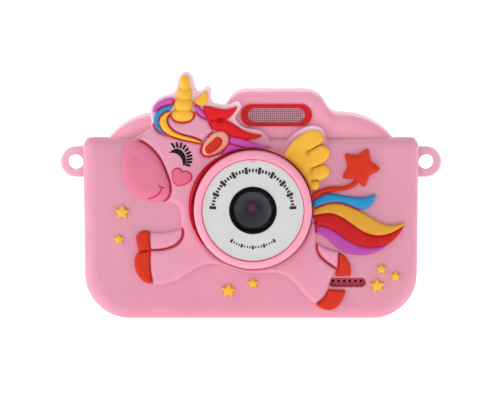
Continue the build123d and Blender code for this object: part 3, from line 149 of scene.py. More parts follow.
MATERIALS = {
    # the jacket, with a painted glow in its thin plates and lanyard eyes
    "jacket_silicone": painted_glow_where_thin(
        silicone("jacket_silicone", (219, 151, 173), 0.2), (250, 210, 226)),
    "silicone_rose": silicone("silicone_rose", (222, 106, 138)),
    "silicone_yellow": silicone("silicone_yellow", (240, 184, 58)),
    "silicone_purple": silicone("silicone_purple", (200, 84, 184)),
    "silicone_blue": silicone("silicone_blue", (36, 142, 200)),
    "silicone_red": silicone("silicone_red", (218, 12, 24)),
    "silicone_orange": silicone("silicone_orange", (206, 44, 8)),
    "silicone_beige": silicone("silicone_beige", (238, 158, 142)),
    "silicone_black": finish("silicone_black", (14, 10, 12), 0.6, 0.1, 3.0, 0.2, 0.01,
                             Specular_IOR_Level=0.2),
    "pink_plastic": finish("pink_plastic", (240, 160, 184), 0.42, 0.03, 20.0, 0.3, 0.006,
                           Subsurface_Weight=0.08, Subsurface_Scale=1.0 * MM, Specular_IOR_Level=0.45),
    "disc_silver": finish("disc_silver", (208, 208, 209), 0.48, 0.02, 4.0, 0.12, 0.004, Metallic=0.12),
    "lens_black": finish("lens_black", (5, 4, 7), 0.55, 0.15, 3.0, 0.15, 0.003,
                         Specular_IOR_Level=0.08),
    "clear_lens": finish("clear_lens", (248, 246, 255), 0.06, 0.01, 2.0, 0.4, 0.0002,
                         Transmission_Weight=1.0, IOR=1.2),
    "flash_red": finish("flash_red", (206, 14, 22), 0.3, 0.04, 5.0, 0.2, 0.003,
                        Specular_IOR_Level=0.3),
    "flash_clear": finish("flash_clear", (226, 164, 176), 0.42, 0.05, 1.0, 0.3, 0.004,
                          Transmission_Weight=0.25, IOR=1.45),
    "reflector_chrome": finish("reflector_chrome", (214, 190, 196), 0.28, 0.03, 2.0, 0.2, 0.004,
                               Metallic=0.7),
    "circuit_board": finish("circuit_board", (24, 92, 52), 0.45, 0.2, 1.2, 0.3, 0.02),
    "grille_rose": finish("grille_rose", (196, 66, 96), 0.5, 0.04, 2.0, 0.2, 0.006),
    "speaker_steel": finish("speaker_steel", (150, 152, 156), 0.35, 0.06, 3.0, 0.2, 0.004,
                            Metallic=0.9),
    "switch_black": finish("switch_black", (28, 28, 30), 0.5, 0.1, 1.0, 0.2, 0.004),
    "port_steel": finish("port_steel", (170, 172, 176), 0.3, 0.05, 2.0, 0.1, 0.003, Metallic=0.95),
    "card_black": finish("card_black", (30, 30, 33), 0.5, 0.08, 2.0, 0.15, 0.004),
    "battery_wrap": finish("battery_wrap", (80, 92, 150), 0.4, 0.08, 3.0, 0.3, 0.006, Metallic=0.3),
    "lcd_black": finish("lcd_black", (34, 36, 44), 0.3, 0.05, 3.0, 0.2, 0.002),
    "flex_amber": finish("flex_amber", (176, 108, 36), 0.4, 0.1, 1.0, 0.2, 0.003),
    "screen_black": finish("screen_black", (8, 8, 10), 0.12, 0.1, 9.0, 0.6, 0.0006,
                           Specular_IOR_Level=0.3),
    "screw_steel": finish("screw_steel", (168, 170, 174), 0.32, 0.06, 1.0, 0.1, 0.004, Metallic=0.95),
    "button_white": finish("button_white", (224, 220, 221), 0.4, 0.02, 5.0, 0.2, 0.005,
                           Subsurface_Weight=0.05, Subsurface_Scale=1.0 * MM),
}
# crimson of the ink lines, also used as painted shade round the lens opening
CRIMSON_INK_AND_SHADE = silicone("crimson_line_and_shade", (216, 24, 50), 0.05)

slot_of = {part["node"]: part["material_slot"] for part in frame["record"]["subparts"]}
for node, shown in frame["nodes"].items():
    for holder in shown.material_slots:
        holder.material = MATERIALS[slot_of[node]]


# ------------------------------------------------------------------ mesh helpers
def add_piece(name, points, faces, slot, material=None):
    """A new mesh object in the frame, from points in millimetres, riding on the camera's body."""
    mesh = bpy.data.meshes.new(name)
    mesh.from_pydata([Vector(p) * MM for p in points], [], faces)
    mesh.validate()
    work = bmesh.new()
    work.from_mesh(mesh)
    bmesh.ops.recalc_face_normals(work, faces=work.faces)
    work.to_mesh(mesh)
    work.free()
    mesh.polygons.foreach_set("use_smooth", [True] * len(mesh.polygons))
    piece = bpy.data.objects.new(name, mesh)
    bpy.context.scene.collection.objects.link(piece)
    mesh.materials.append(material or MATERIALS[slot])
    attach(piece, ROOT)
    return piece


# an outline turns by more than this, in radians, at a corner
CORNER_TURN = 0.5
# a vertex belongs to a front face when it lies this near the foremost point, in millimetres
FACE_TOLERANCE = 0.01
# points on the patches' outlines and inside them, and how far the outlines are let out
OUTLINE_STEP = 0.28
FILL_STEP = 0.8
ROW_SHARE = 0.87
LET_OUT = 0.07
# quarter turns down the rounded edge of a patch, one ring of points each
RING_TURNS = [math.radians(turn) for turn in (24, 46, 68, 90)]
# height of a patch's upright side, as a share of its full height
SIDE_SHARE = 0.25
# how far a patch's back reaches into the surface under it
PATCH_SINK = 0.05
# places of a ribbon's lanes across it, from edge to edge
RIBBON_LANES = (-1, -0.6, 0, 0.6, 1)


def front_loops(node):
    """Outlines (x, z) of a CAD node's front face, in millimetres.

    They are the edges that only one of the face's triangles uses, joined end to end."""
    mesh = frame["nodes"][node].data
    points = np.array([v.co for v in mesh.vertices]) / MM
    front = points[:, 1].min()
    edges = set()
    for face in mesh.polygons:
        if points[list(face.vertices), 1].max() > front + FACE_TOLERANCE:
            continue
        keys = [(round(points[i, 0], 4), round(points[i, 2], 4)) for i in face.vertices]
        for start, end in zip(keys, keys[1:] + keys[:1]):
            if (end, start) in edges:
                edges.remove((end, start))
            else:
                edges.add((start, end))
    following = dict(edges)
    loops = []
    while following:
        first, here = following.popitem()
        loop = [first]
        while here != first:
            loop.append(here)
            here = following.pop(here)
        loops.append(np.array(loop))
    return loops


def lengths_along(points):
    """Length along a run of points, up to each of them."""
    return np.concatenate([[0], np.cumsum(np.linalg.norm(np.diff(points, axis=0), axis=1))])


def curve_point(points, along, slope, at):
    """Point at a length along the smooth curve that has the given slopes at the points."""
    k = min(np.searchsorted(along, at, side="right") - 1, len(points) - 2)
    width = along[k + 1] - along[k]
    t = (at - along[k]) / width
    return (
        (2 * t**3 - 3 * t**2 + 1) * points[k] + (t**3 - 2 * t**2 + t) * width * slope[k]
        + (3 * t**2 - 2 * t**3) * points[k + 1] + (t**3 - t**2) * width * slope[k + 1]
    )


def evened(loop, step, rounds=2):
    """The loop with evenly spaced points: it keeps its corners, which are then softened a little."""
    ahead = np.roll(loop, -1, axis=0) - loop
    ahead /= np.linalg.norm(ahead, axis=1)[:, None]
    behind = np.roll(ahead, 1, axis=0)
    turn = np.arccos(np.clip((ahead * behind).sum(1), -1, 1))
    corners = list(np.nonzero(turn > CORNER_TURN)[0]) or [0]
    fresh = []
    for first, last in zip(corners, corners[1:] + [corners[0] + len(loop)]):
        run = loop[np.arange(first, last + 1) % len(loop)]
        along = lengths_along(run)
        if len(run) > 2:
            slope = np.gradient(run, along, axis=0)
        else:
            slope = np.repeat(np.diff(run, axis=0) / along[-1], 2, axis=0)
        count = max(int(round(along[-1] / step)), 1)
        fresh += [curve_point(run, along, slope, at) for at in np.arange(count) * along[-1] / count]
    fresh = np.array(fresh)
    for _ in range(rounds):
        fresh = 0.5 * fresh + 0.25 * (np.roll(fresh, 1, axis=0) + np.roll(fresh, -1, axis=0))
    area = 0.5 * (fresh[:, 0] * np.roll(fresh[:, 1], -1) - fresh[:, 1] * np.roll(fresh[:, 0], -1)).sum()
    return fresh if area > 0 else fresh[::-1]


def inward(loop):
    """Unit normals of an anticlockwise loop, pointing into it."""
    tangent = np.roll(loop, -1, axis=0) - np.roll(loop, 1, axis=0)
    tangent /= np.linalg.norm(tangent, axis=1)[:, None]
    return np.stack([-tangent[:, 1], tangent[:, 0]], axis=1)


def edges_of(loops):
    return np.concatenate(loops), np.concatenate([np.roll(loop, -1, axis=0) for loop in loops])


def distance(points, loops):
    """Distance of each point from the nearest loop edge."""
    starts, ends = edges_of(loops)
    run = ends - starts
    square = (run**2).sum(1)
    parts = []
    for block in np.array_split(points, len(points) // 500 + 1):
        offset = block[:, None, :] - starts[None]
        share = np.clip((offset * run).sum(2) / square, 0, 1)
        gap = offset - share[:, :, None] * run
        parts.append(np.sqrt((gap**2).sum(2).min(1)))
    return np.concatenate(parts)


def inside(points, loops):
    """Which points lie inside the loops."""
    starts, ends = edges_of(loops)
    parts = []
    for block in np.array_split(points, len(points) // 500 + 1):
        x, z = block[:, 0, None], block[:, 1, None]
        crosses = (starts[:, 1] > z) != (ends[:, 1] > z)
        level = ends[:, 1] - starts[:, 1] + 1e-12
        hit = x < (ends[:, 0] - starts[:, 0]) * (z - starts[:, 1]) / level + starts[:, 0]
        parts.append((crosses & hit).sum(1) % 2 == 1)
    return np.concatenate(parts)


def swell(depth_in, rounding, wall, height):
    """Height of a soft-edged patch at a distance inside its outline."""
    share = 1 - np.clip(depth_in / rounding, 0, 1)
    return wall + (height - wall) * np.sqrt(1 - share**2)


def relief_height(node):
    """Thickness of a CAD relief patch, in millimetres."""
    low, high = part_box(node)
    return (high.y - low.y) / MM


def patch(name, node, slot, rounding, height=None, wall=SIDE_SHARE, material=None, shape=None, soften=2):
    """A soft-edged patch in place of a flat CAD relief patch, on its outline let out a little.

    wall is the height of its upright side as a share of the full height, and soften the rounds of
    smoothing that its outline gets; an outline that gets none keeps its place as well."""
    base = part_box(node)[1].y / MM
    full = relief_height(node) if height is None else height
    loops = [evened(loop, OUTLINE_STEP, soften) for loop in front_loops(node)]
    loops = [loop - LET_OUT * inward(loop) for loop in loops] if soften else loops
    rings = []
    for turn in RING_TURNS:
        reach = rounding * (1 - math.cos(turn))
        ring = np.concatenate([loop + inward(loop) * reach for loop in loops])
        rings.append(ring[inside(ring, loops) & (distance(ring, loops) > 0.94 * reach)])
    every = np.concatenate(loops)
    columns = np.arange(every[:, 0].min(), every[:, 0].max(), FILL_STEP)
    rows = np.arange(every[:, 1].min(), every[:, 1].max(), FILL_STEP * ROW_SHARE)
    fill = np.array([(x + (k % 2) * FILL_STEP / 2, z) for k, z in enumerate(rows) for x in columns])
    keep = inside(fill, loops) & (distance(fill, loops) > rounding + 0.35 * FILL_STEP)
    flat = np.concatenate([every, *rings, fill[keep]])
    ties, first = [], 0
    for loop in loops:
        ties += [(first + k, first + (k + 1) % len(loop)) for k in range(len(loop))]
        first += len(loop)
    found, _, triangles, *_ = delaunay_2d_cdt([Vector(p) for p in flat], ties, [], 0, 1e-5)
    found = np.array([tuple(p) for p in found])
    triangles = np.array([list(t) for t in triangles])
    triangles = triangles[inside(found[triangles].mean(axis=1), loops)]
    depth_in = distance(found, loops)
    rise = swell(depth_in, rounding, wall * full, full)
    if shape:
        rise = shape(found, depth_in, rise)
    return closed_patch(name, found, triangles, rise, base, slot, material)


def closed_patch(name, flat, triangles, rise, base, slot, material=None):
    """Closed mesh of a height field on the plane at y = base, with upright sides and a flat back."""
    used, index = np.unique(triangles, return_inverse=True)
    triangles = index.reshape(-1, 3)
    flat, rise = flat[used], rise[used]
    a, b, c = flat[triangles[:, 0]], flat[triangles[:, 1]], flat[triangles[:, 2]]
    clockwise = (b[:, 0] - a[:, 0]) * (c[:, 1] - a[:, 1]) < (b[:, 1] - a[:, 1]) * (c[:, 0] - a[:, 0])
    triangles[clockwise] = triangles[clockwise][:, ::-1]
    count = len(flat)
    points = [(x, base - h, z) for (x, z), h in zip(flat, rise)]
    points += [(x, base + PATCH_SINK, z) for x, z in flat]
    faces = [tuple(int(i) for i in t) for t in triangles]
    edges = {(s, e) for t in faces for s, e in zip(t, t[1:] + t[:1])}
    faces += [(c + count, b + count, a + count) for a, b, c in list(faces)]
    faces += [(e, s, s + count, e + count) for s, e in edges if (e, s) not in edges]
    return add_piece(name, points, faces, slot, material)


def ribbon(name, path, width, lift, depth_at, slot, material, sink=0.15, closed=False):
    """A thin raised line along a path of (x, z) points.

    Its middle rises by lift above a surface whose y is depth_at(points), and it reaches sink below
    that surface."""
    path = np.array(path)
    tangent = np.roll(path, -1, axis=0) - np.roll(path, 1, axis=0)
    if not closed:
        tangent[0], tangent[-1] = path[1] - path[0], path[-1] - path[-2]
    tangent /= np.linalg.norm(tangent, axis=1)[:, None]
    normal = np.stack([-tangent[:, 1], tangent[:, 0]], axis=1)
    half = (np.full(len(path), width) if np.isscalar(width) else np.array(width))[:, None] / 2
    points = []
    for share in RIBBON_LANES:
        lane = path + normal * half * share
        up = lift * (1 - share**2)
        points += [(x, at - up, z) for (x, z), at in zip(lane, depth_at(lane))]
    points += [(x, at + sink, z) for (x, z), at in zip(path, depth_at(path))]
    count = len(path)
    lanes = len(RIBBON_LANES) + 1
    faces = []
    for k in range(count if closed else count - 1):
        n = (k + 1) % count
        for lane in range(lanes):
            other = (lane + 1) % lanes
            faces.append((lane * count + k, lane * count + n, other * count + n, other * count + k))
    if not closed:
        faces.append(tuple(lane * count for lane in range(lanes)))
        faces.append(tuple(lane * count + count - 1 for lane in reversed(range(lanes))))
    return add_piece(name, points, faces, slot, material)


def spline(points, step=0.2):
    """Points along a smooth curve through the given points."""
    points = np.array(points, float)
    along = lengths_along(points)
    slope = np.gradient(points, along, axis=0)
    stops = np.linspace(0, along[-1], int(along[-1] / step) + 2)
    return np.array([curve_point(points, along, slope, at) for at in stops])


def level(y):
    """A flat surface at one y, for ribbons."""
    return lambda points: np.full(len(points), y)


# ------------------------------------------------------------------ relief on the jacket
UNICORN_PINK = silicone("unicorn_pink", (224, 155, 178), 0.2)
MUZZLE_PINK = silicone("muzzle_pink", (220, 121, 151), 0.16)
MUZZLE_CORNER = np.array([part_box("muzzle")[0].x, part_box("muzzle")[0].z]) / MM
NOSTRIL = MUZZLE_CORNER + (4.8, 14.2)
NOSTRIL_RADIUS = 0.9
NOSTRIL_DEPTH = 0.35
BODY_ROUNDING, BODY_SIDE = 1.5, 0.15
MUZZLE_ROUNDING, MUZZLE_SIDE = 3.4, 0.2


def muzzle_shape(points, depth_in, rise):
    """Nostril dimple in the domed muzzle."""
    near = ((points - NOSTRIL) ** 2).sum(1) / NOSTRIL_RADIUS**2
    return rise - NOSTRIL_DEPTH * np.exp(-near)


body_soft = patch("unicorn_body_soft", "unicorn_body", "jacket_silicone", BODY_ROUNDING, wall=BODY_SIDE,
                  material=UNICORN_PINK)
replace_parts(body_soft, "unicorn_body")
muzzle_soft = patch("muzzle_soft", "muzzle", "silicone_rose", MUZZLE_ROUNDING, wall=MUZZLE_SIDE,
                    material=MUZZLE_PINK, shape=muzzle_shape)
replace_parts(muzzle_soft, "muzzle")
# node, slot, radius of its rounded edge and height
SOFT_PATCHES = [
    ("forehead_tuft", "silicone_yellow", 0.8, 1.5),
    ("mane_purple", "silicone_purple", 0.7, 1.4),
    ("mane_blue", "silicone_blue", 0.6, 1.45),
    ("mane_yellow", "silicone_yellow", 0.7, 1.5),
    ("mane_red", "silicone_red", 0.7, 1.5),
    ("ear_outer", "silicone_beige", 0.9, 1.7),
    ("ear_inner", "silicone_orange", 0.6, 0.45),
    ("cheek_heart", "silicone_rose", 0.8, 0.4),
    ("closed_eye", "silicone_black", 0.25, 0.3),
    ("hooves", "silicone_orange", 1.1, 1.5),
    ("wing", "silicone_yellow", 1.3, 1.7),
    ("shooting_star", "silicone_orange", 1.3, 1.7),
    ("small_stars", "silicone_yellow", 0.9, 1.2),
    ("tail_blue", "silicone_blue", 0.9, 1.5),
    ("tail_yellow", "silicone_yellow", 0.9, 1.55),
    ("tail_red", "silicone_red", 0.9, 1.6),
    ("tail_purple", "silicone_purple", 0.9, 1.5),
]
# darker copies of the tail's colours: painted shade, as less light falls low on the right than on the mane
TAIL_PAINTED_SHADES = {
    "tail_yellow": silicone("tail_yellow", (218, 160, 48)),
    "tail_red": silicone("tail_red", (194, 8, 20)),
    "tail_purple": silicone("tail_purple", (180, 72, 166)),
}
for node, slot, rounding, height in SOFT_PATCHES:
    soften = 0 if node in ("small_stars", "closed_eye") else 2
    shade = TAIL_PAINTED_SHADES.get(node)
    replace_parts(patch(node + "_soft", node, slot, rounding, height, soften=soften, material=shade), node)


# horn of four overlapping swollen segments: (x, z of the centre from the horn's lower left corner,
# half width, half height, thickness)
HORN_SEGMENTS = [
    (3.65, 2.10, 3.65, 2.10, 1.65),
    (3.95, 5.45, 3.05, 2.35, 1.85),
    (4.25, 8.80, 2.45, 2.25, 2.05),
    (4.35, 11.95, 1.65, 2.60, 2.25),
]
HORN_SPOKES = 56
HORN_RINGS = 14
# powers that make a segment's outline squarer than an ellipse and its front flatter than a ball's
HORN_SQUARENESS = 0.85
HORN_FLATNESS = 2.4


def horn_segment(number, x, z, half_width, half_height, thickness):
    low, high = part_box("horn")
    base = high.y / MM
    points = [(low.x / MM + x, base - thickness, low.z / MM + z)]
    for ring in range(1, HORN_RINGS + 1):
        share = math.sin(math.pi / 2 * ring / HORN_RINGS)
        for spoke in range(HORN_SPOKES):
            turn = 2 * math.pi * spoke / HORN_SPOKES
            across = math.copysign(abs(math.cos(turn)) ** HORN_SQUARENESS, math.cos(turn))
            up = math.copysign(abs(math.sin(turn)) ** HORN_SQUARENESS, math.sin(turn))
            rise = thickness * (1 - share**HORN_FLATNESS) ** 0.5
            points.append((low.x / MM + x + half_width * share * across, base - rise,
                           low.z / MM + z + half_height * share * up))
    faces = [(0, 1 + (k + 1) % HORN_SPOKES, 1 + k) for k in range(HORN_SPOKES)]
    for ring in range(HORN_RINGS - 1):
        for k in range(HORN_SPOKES):
            n = (k + 1) % HORN_SPOKES
            inner, outer = 1 + ring * HORN_SPOKES, 1 + (ring + 1) * HORN_SPOKES
            faces.append((inner + k, inner + n, outer + n, outer + k))
    faces.append(tuple(1 + (HORN_RINGS - 1) * HORN_SPOKES + k for k in range(HORN_SPOKES)))
    return add_piece(f"horn_segment_{number}", points, faces, "silicone_yellow")


for number, segment in enumerate(HORN_SEGMENTS):
    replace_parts(horn_segment(number, *segment), "horn")


# crimson lines: the base shows between neighbouring patches, and round the ones that lie on another
SEAM_REACH = 0.75
SEAM_WIDTH = 0.4
SEAM_LIFT, SEAM_SINK = 0.08, 0.5
SEAM_LEVEL = PANEL - 0.95
# a point faces its neighbour when a step outwards by the gap ends this near the neighbour's outline
FACING_LIMIT = 0.3
# fewest points of a run that still gets a line
SHORTEST_RUN = 8
PANEL_NODES = ["unicorn_body", "muzzle", "horn", "forehead_tuft", "mane_purple", "mane_blue", "mane_yellow",
               "mane_red", "ear_outer", "hooves", "wing", "shooting_star", "tail_blue", "tail_yellow",
               "tail_red", "tail_purple"]


def neighbour_runs(near):
    """Runs of consecutive points round a loop that are marked near, without their end points."""
    start = int(np.argmin(near)) if not near.all() else 0
    runs = [[]]
    for k in (np.arange(len(near)) + start) % len(near):
        if near[k]:
            runs[-1].append(k)
        elif runs[-1]:
            runs.append([])
    return [run[1:-1] for run in runs if len(run) >= SHORTEST_RUN]


panel_loops = [(node, evened(loop, OUTLINE_STEP)) for node in PANEL_NODES for loop in front_loops(node)]
for number, (node, loop) in enumerate(panel_loops):
    others = [other for k, (_, other) in enumerate(panel_loops) if k != number]
    gap = distance(loop, others)
    outward = -inward(loop)
    facing = distance(loop + outward * gap[:, None], others) < FACING_LIMIT
    for part, run in enumerate(neighbour_runs((gap < SEAM_REACH) & facing)):
        middle = loop[run] + outward[run] * (gap[run] / 2)[:, None]
        ribbon(f"seam_{node}_{number}_{part}", middle, SEAM_WIDTH, SEAM_LIFT, level(SEAM_LEVEL),
               "silicone_red", CRIMSON_INK_AND_SHADE, sink=SEAM_SINK)

RIM_WIDTH = 0.8
LINE_LIFT = 0.12
for node in ("cheek_heart", "ear_inner"):
    for part, loop in enumerate(front_loops(node)):
        ribbon(f"outline_{node}_{part}", evened(loop, OUTLINE_STEP), RIM_WIDTH, LINE_LIFT,
               level(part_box(node)[1].y / MM), "silicone_red", CRIMSON_INK_AND_SHADE, closed=True)

# mouth on the muzzle's dome
muzzle_loops = [evened(loop, OUTLINE_STEP) for loop in front_loops("muzzle")]


def muzzle_surface(points):
    """y of the muzzle's front at points inside its outline."""
    full = relief_height("muzzle")
    return PANEL - swell(distance(points, muzzle_loops), MUZZLE_ROUNDING, MUZZLE_SIDE * full, full)


# strokes as (x, z) from the lower left corner of the muzzle's box
SMILE = [(8.1, 1.1), (10.3, 1.8), (11.7, 2.9), (12.6, 4.5)]
DIMPLE = [(11.5, 5.6), (12.5, 4.7), (13.7, 4.6)]
SMILE_WIDTH = 0.5
# share of the width at a stroke's end, and how much it grows with each point towards the middle
END_SHARE, GROWTH = 0.25, 0.3
for name, stroke in (("smile_line", SMILE), ("smile_dimple", DIMPLE)):
    path = spline(stroke) + MUZZLE_CORNER
    from_end = np.minimum(np.arange(len(path)), np.arange(len(path))[::-1])
    taper = SMILE_WIDTH * np.minimum(1, END_SHARE + from_end * GROWTH)
    ribbon(name, path, taper, LINE_LIFT, muzzle_surface, "silicone_red", CRIMSON_INK_AND_SHADE)


# ------------------------------------------------------------------ lens
def turned(name, profile, centre, slot, material=None, first=0, last=360):
    """A closed solid turned about the lens direction, from (radius, y) corners in millimetres.

    It goes all the way round, or from one angle to another, in degrees."""
    points, faces = [], []
    count = len(profile)
    steps = int((last - first) / 3)
    whole = last - first == 360
    for step in range(steps if whole else steps + 1):
        turn = math.radians(first + (last - first) * step / steps)
        points += [(centre[0] + r * math.cos(turn), y, centre[1] + r * math.sin(turn)) for r, y in profile]
    for step in range(steps):
        here, there = step * count, (step + 1) * count % len(points)
        for k in range(count):
            n = (k + 1) % count
            faces.append((here + k, here + n, there + n, there + k))
    if not whole:
        faces.append(tuple(range(count)))
        faces.append(tuple(reversed(range(steps * count, steps * count + count))))
    piece = add_piece(name, points, faces, slot, material)
    piece.data.set_sharp_from_angle(angle=math.radians(35))
    return piece


LENS_X, LENS_Z = LENS_CENTRE.x, LENS_CENTRE.z
LENS_MIDDLE = (LENS_X, LENS_Z)
# the jacket's opening sits a little to the left of the lens
OPENING_X = LENS_X - 0.2
# band between the ring and the jacket: crimson at the left, top and right as painted shade of the deep gap,
# pink below
GAP_BAND = [(18.2, -11.02), (18.88, -11.02), (18.88, -13.1), (18.72, -13.1), (18.6, -12.6), (18.2, -12.5)]
turned("lens_gap_shade", GAP_BAND, (OPENING_X, LENS_Z), "silicone_red", CRIMSON_INK_AND_SHADE, -54, 216)
turned("lens_gap_fill", GAP_BAND, (OPENING_X, LENS_Z), "jacket_silicone", None, 219, 303)

# crescent of painted shade, crimson, on the shaded upper left edge of the opening, between two angles in
# degrees
CRESCENT_FIRST, CRESCENT_LAST = 108, 216
CRESCENT_POINTS = 90
CRESCENT_INSIDE = 18.78
CRESCENT_TIP, CRESCENT_WIDTH = 0.1, 1.1
CRESCENT_FULLNESS = 0.8
CRESCENT_LIFT, CRESCENT_SINK = 0.16, 0.3
body_loops = [evened(loop, OUTLINE_STEP) for loop in front_loops("unicorn_body")]


def body_surface(points):
    """y of the unicorn body's front, or of the foot of its edge at points outside its outline."""
    full = relief_height("unicorn_body")
    depth_in = np.where(inside(points, body_loops), distance(points, body_loops), 0)
    return PANEL - swell(depth_in, BODY_ROUNDING, BODY_SIDE * full, full)


def lens_shade_crescent():
    """Crimson crescent of painted shade round the opening, widest in its middle."""
    shares = np.linspace(0, 1, CRESCENT_POINTS)
    turns = np.radians(CRESCENT_FIRST + (CRESCENT_LAST - CRESCENT_FIRST) * shares)
    widths = CRESCENT_TIP + CRESCENT_WIDTH * np.sin(math.pi * shares) ** CRESCENT_FULLNESS
    radii = CRESCENT_INSIDE + widths / 2
    path = np.stack([OPENING_X + radii * np.cos(turns), LENS_Z + radii * np.sin(turns)], axis=1)
    ribbon("lens_shade_crescent", path, widths, CRESCENT_LIFT, body_surface, "silicone_red", CRIMSON_INK_AND_SHADE,
           sink=CRESCENT_SINK)


lens_shade_crescent()

# thin crimson line between the ring and its face disc
RING_LINE = [(15.68, -19.97), (15.95, -19.97), (15.95, -19.3), (15.68, -19.3)]
turned("ring_line", RING_LINE, LENS_MIDDLE, "silicone_red", CRIMSON_INK_AND_SHADE)

# stepped baffle inside the hood, down to the small front element, as (radius, y) corners; the baffle's
# grey-violet colour is a painted sheen of coated lens glass
BAFFLE_SHEEN = finish("lens_baffle", (64, 60, 74), 0.42, 0.08, 2.0, 0.15, 0.004)
# the small front element is opaque pink: a painted reflection on its glass
PUPIL_REFLECTION = finish("lens_pupil", (150, 50, 84), 0.2, 0.2, 0.7, 0.2, 0.001, Specular_IOR_Level=0.3)
BAFFLE_FRONT, BAFFLE_BACK = (5.55, -17.95), (1.45, -10.3)
BAFFLE_OUTSIDE = [BAFFLE_BACK, (1.7, -10.2), (5.0, -17.0), (5.58, -17.4)]
BAFFLE_COUNT = 10
LEDGE_WIDTH, LEDGE_DEPTH = 0.12, 0.16
PUPIL_PROFILE = [(0.02, -10.6), (0.6, -10.55), (1.1, -10.4), (1.42, -10.2), (1.42, -9.9), (0.02, -9.9)]


def baffle_steps():
    """Corners of the baffle's steps, from its front edge inwards."""
    radius_run = BAFFLE_BACK[0] - BAFFLE_FRONT[0]
    depth_run = BAFFLE_BACK[1] - BAFFLE_FRONT[1]
    corners = []
    for step in range(BAFFLE_COUNT):
        wide = BAFFLE_FRONT[0] + radius_run * step / BAFFLE_COUNT
        narrow = BAFFLE_FRONT[0] + radius_run * (step + 1) / BAFFLE_COUNT
        y = BAFFLE_FRONT[1] + depth_run * step / BAFFLE_COUNT
        corners += [(wide, y), (narrow + LEDGE_WIDTH, y + LEDGE_DEPTH)]
    return corners


turned("lens_baffle", baffle_steps() + BAFFLE_OUTSIDE, LENS_MIDDLE, "lens_black", BAFFLE_SHEEN)
turned("lens_pupil", PUPIL_PROFILE, LENS_MIDDLE, "clear_lens", PUPIL_REFLECTION)


# ------------------------------------------------------------------ marks on the lens disc
DISC_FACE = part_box("lens_face_disc")[0].y / MM
TICK_INK = finish("tick_ink", (24, 24, 26), 0.5, 0.1, 0.8, 0.1, 0.002)
TICK_SINK, TICK_LIFT = 0.05, 0.03
# half widths of long and short marks as shares of the width, and what a short mark lacks at each end
LONG_HALF, SHORT_HALF = 0.62, 0.4
SHORTENING = 0.25
# a block's corners are numbered round its back, then round its front
BLOCK_FACES = ((0, 1, 2, 3), (7, 6, 5, 4), (0, 4, 5, 1), (1, 5, 6, 2), (2, 6, 7, 3), (3, 7, 4, 0))


def tick_arc(name, first, last, count, inner, outer, width, every):
    """Radial marks round the lens, with each few longer. Angles are in degrees from the top."""
    points, faces = [], []
    for number in range(count):
        turn = math.radians(first + (last - first) * number / (count - 1))
        long = number % every == 0
        cut = 0 if long else SHORTENING * (outer - inner)
        near, far = inner + cut, outer - cut
        half = width * (LONG_HALF if long else SHORT_HALF)
        along, across = (math.sin(turn), math.cos(turn)), (math.cos(turn), -math.sin(turn))
        start = len(points)
        for y in (DISC_FACE + TICK_SINK, DISC_FACE - TICK_LIFT):
            for radius, side in ((near, -half), (near, half), (far, half), (far, -half)):
                points.append((LENS_X + radius * along[0] + side * across[0], y,
                               LENS_Z + radius * along[1] + side * across[1]))
        faces += [tuple(start + k for k in face) for face in BLOCK_FACES]
    piece = add_piece(name, points, faces, "lens_black", TICK_INK)
    piece.data.set_sharp_from_angle(angle=math.radians(30))


tick_arc("disc_ticks_upper", -86, 86, 37, 11.4, 13.5, 0.78, 4)
tick_arc("disc_ticks_lower", 145, 215, 17, 10.9, 12.1, 0.56, 4)


# ------------------------------------------------------------------ flash window dots
DOT_COLUMNS, DOT_ROWS = 27, 7
COLUMN_PITCH = 0.62
ROW_SQUEEZE = 0.9
DOT_RADIUS = 0.2
DOT_SIDES = 8
DOT_SINK, DOT_LIFT = 0.03, 0.04


def flash_dots():
    """Rows of small raised dots on the flash's window."""
    low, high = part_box("flash_window")
    points, faces = [], []
    for row in range(DOT_ROWS):
        for column in range(DOT_COLUMNS):
            x = (low.x + high.x) / 2 / MM + (column - (DOT_COLUMNS - 1) / 2) * COLUMN_PITCH
            z = (low.z + high.z) / 2 / MM + (row - (DOT_ROWS - 1) / 2) * COLUMN_PITCH * ROW_SQUEEZE
            start = len(points)
            for y in (low.y / MM + DOT_SINK, low.y / MM - DOT_LIFT):
                for side in range(DOT_SIDES):
                    turn = 2 * math.pi * side / DOT_SIDES
                    points.append((x + DOT_RADIUS * math.cos(turn), y, z + DOT_RADIUS * math.sin(turn)))
            back = [start + side for side in range(DOT_SIDES)]
            faces += [tuple(back), tuple(k + DOT_SIDES for k in reversed(back))]
            faces += [(here, here + DOT_SIDES, there + DOT_SIDES, there)
                      for here, there in zip(back, back[1:] + back[:1])]
    ink = finish("flash_dot", (92, 34, 46), 0.4, 0.1, 0.5, 0.1, 0.002)
    add_piece("flash_dots", points, faces, "flash_red", ink)


flash_dots()


# ------------------------------------------------------------------ felt behind the speaker grille, and painted shade in its holes
GRILLE_CENTRE = (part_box("speaker_grille")[0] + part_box("speaker_grille")[1]) / 2 / MM
GRILLE_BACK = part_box("speaker_grille")[1].y / MM
FELT_HALF, FELT_RADIUS = 4.2, 0.95
FELT_FRONT, FELT_BACK = 0.02, 0.6
FELT_END_POINTS = 13


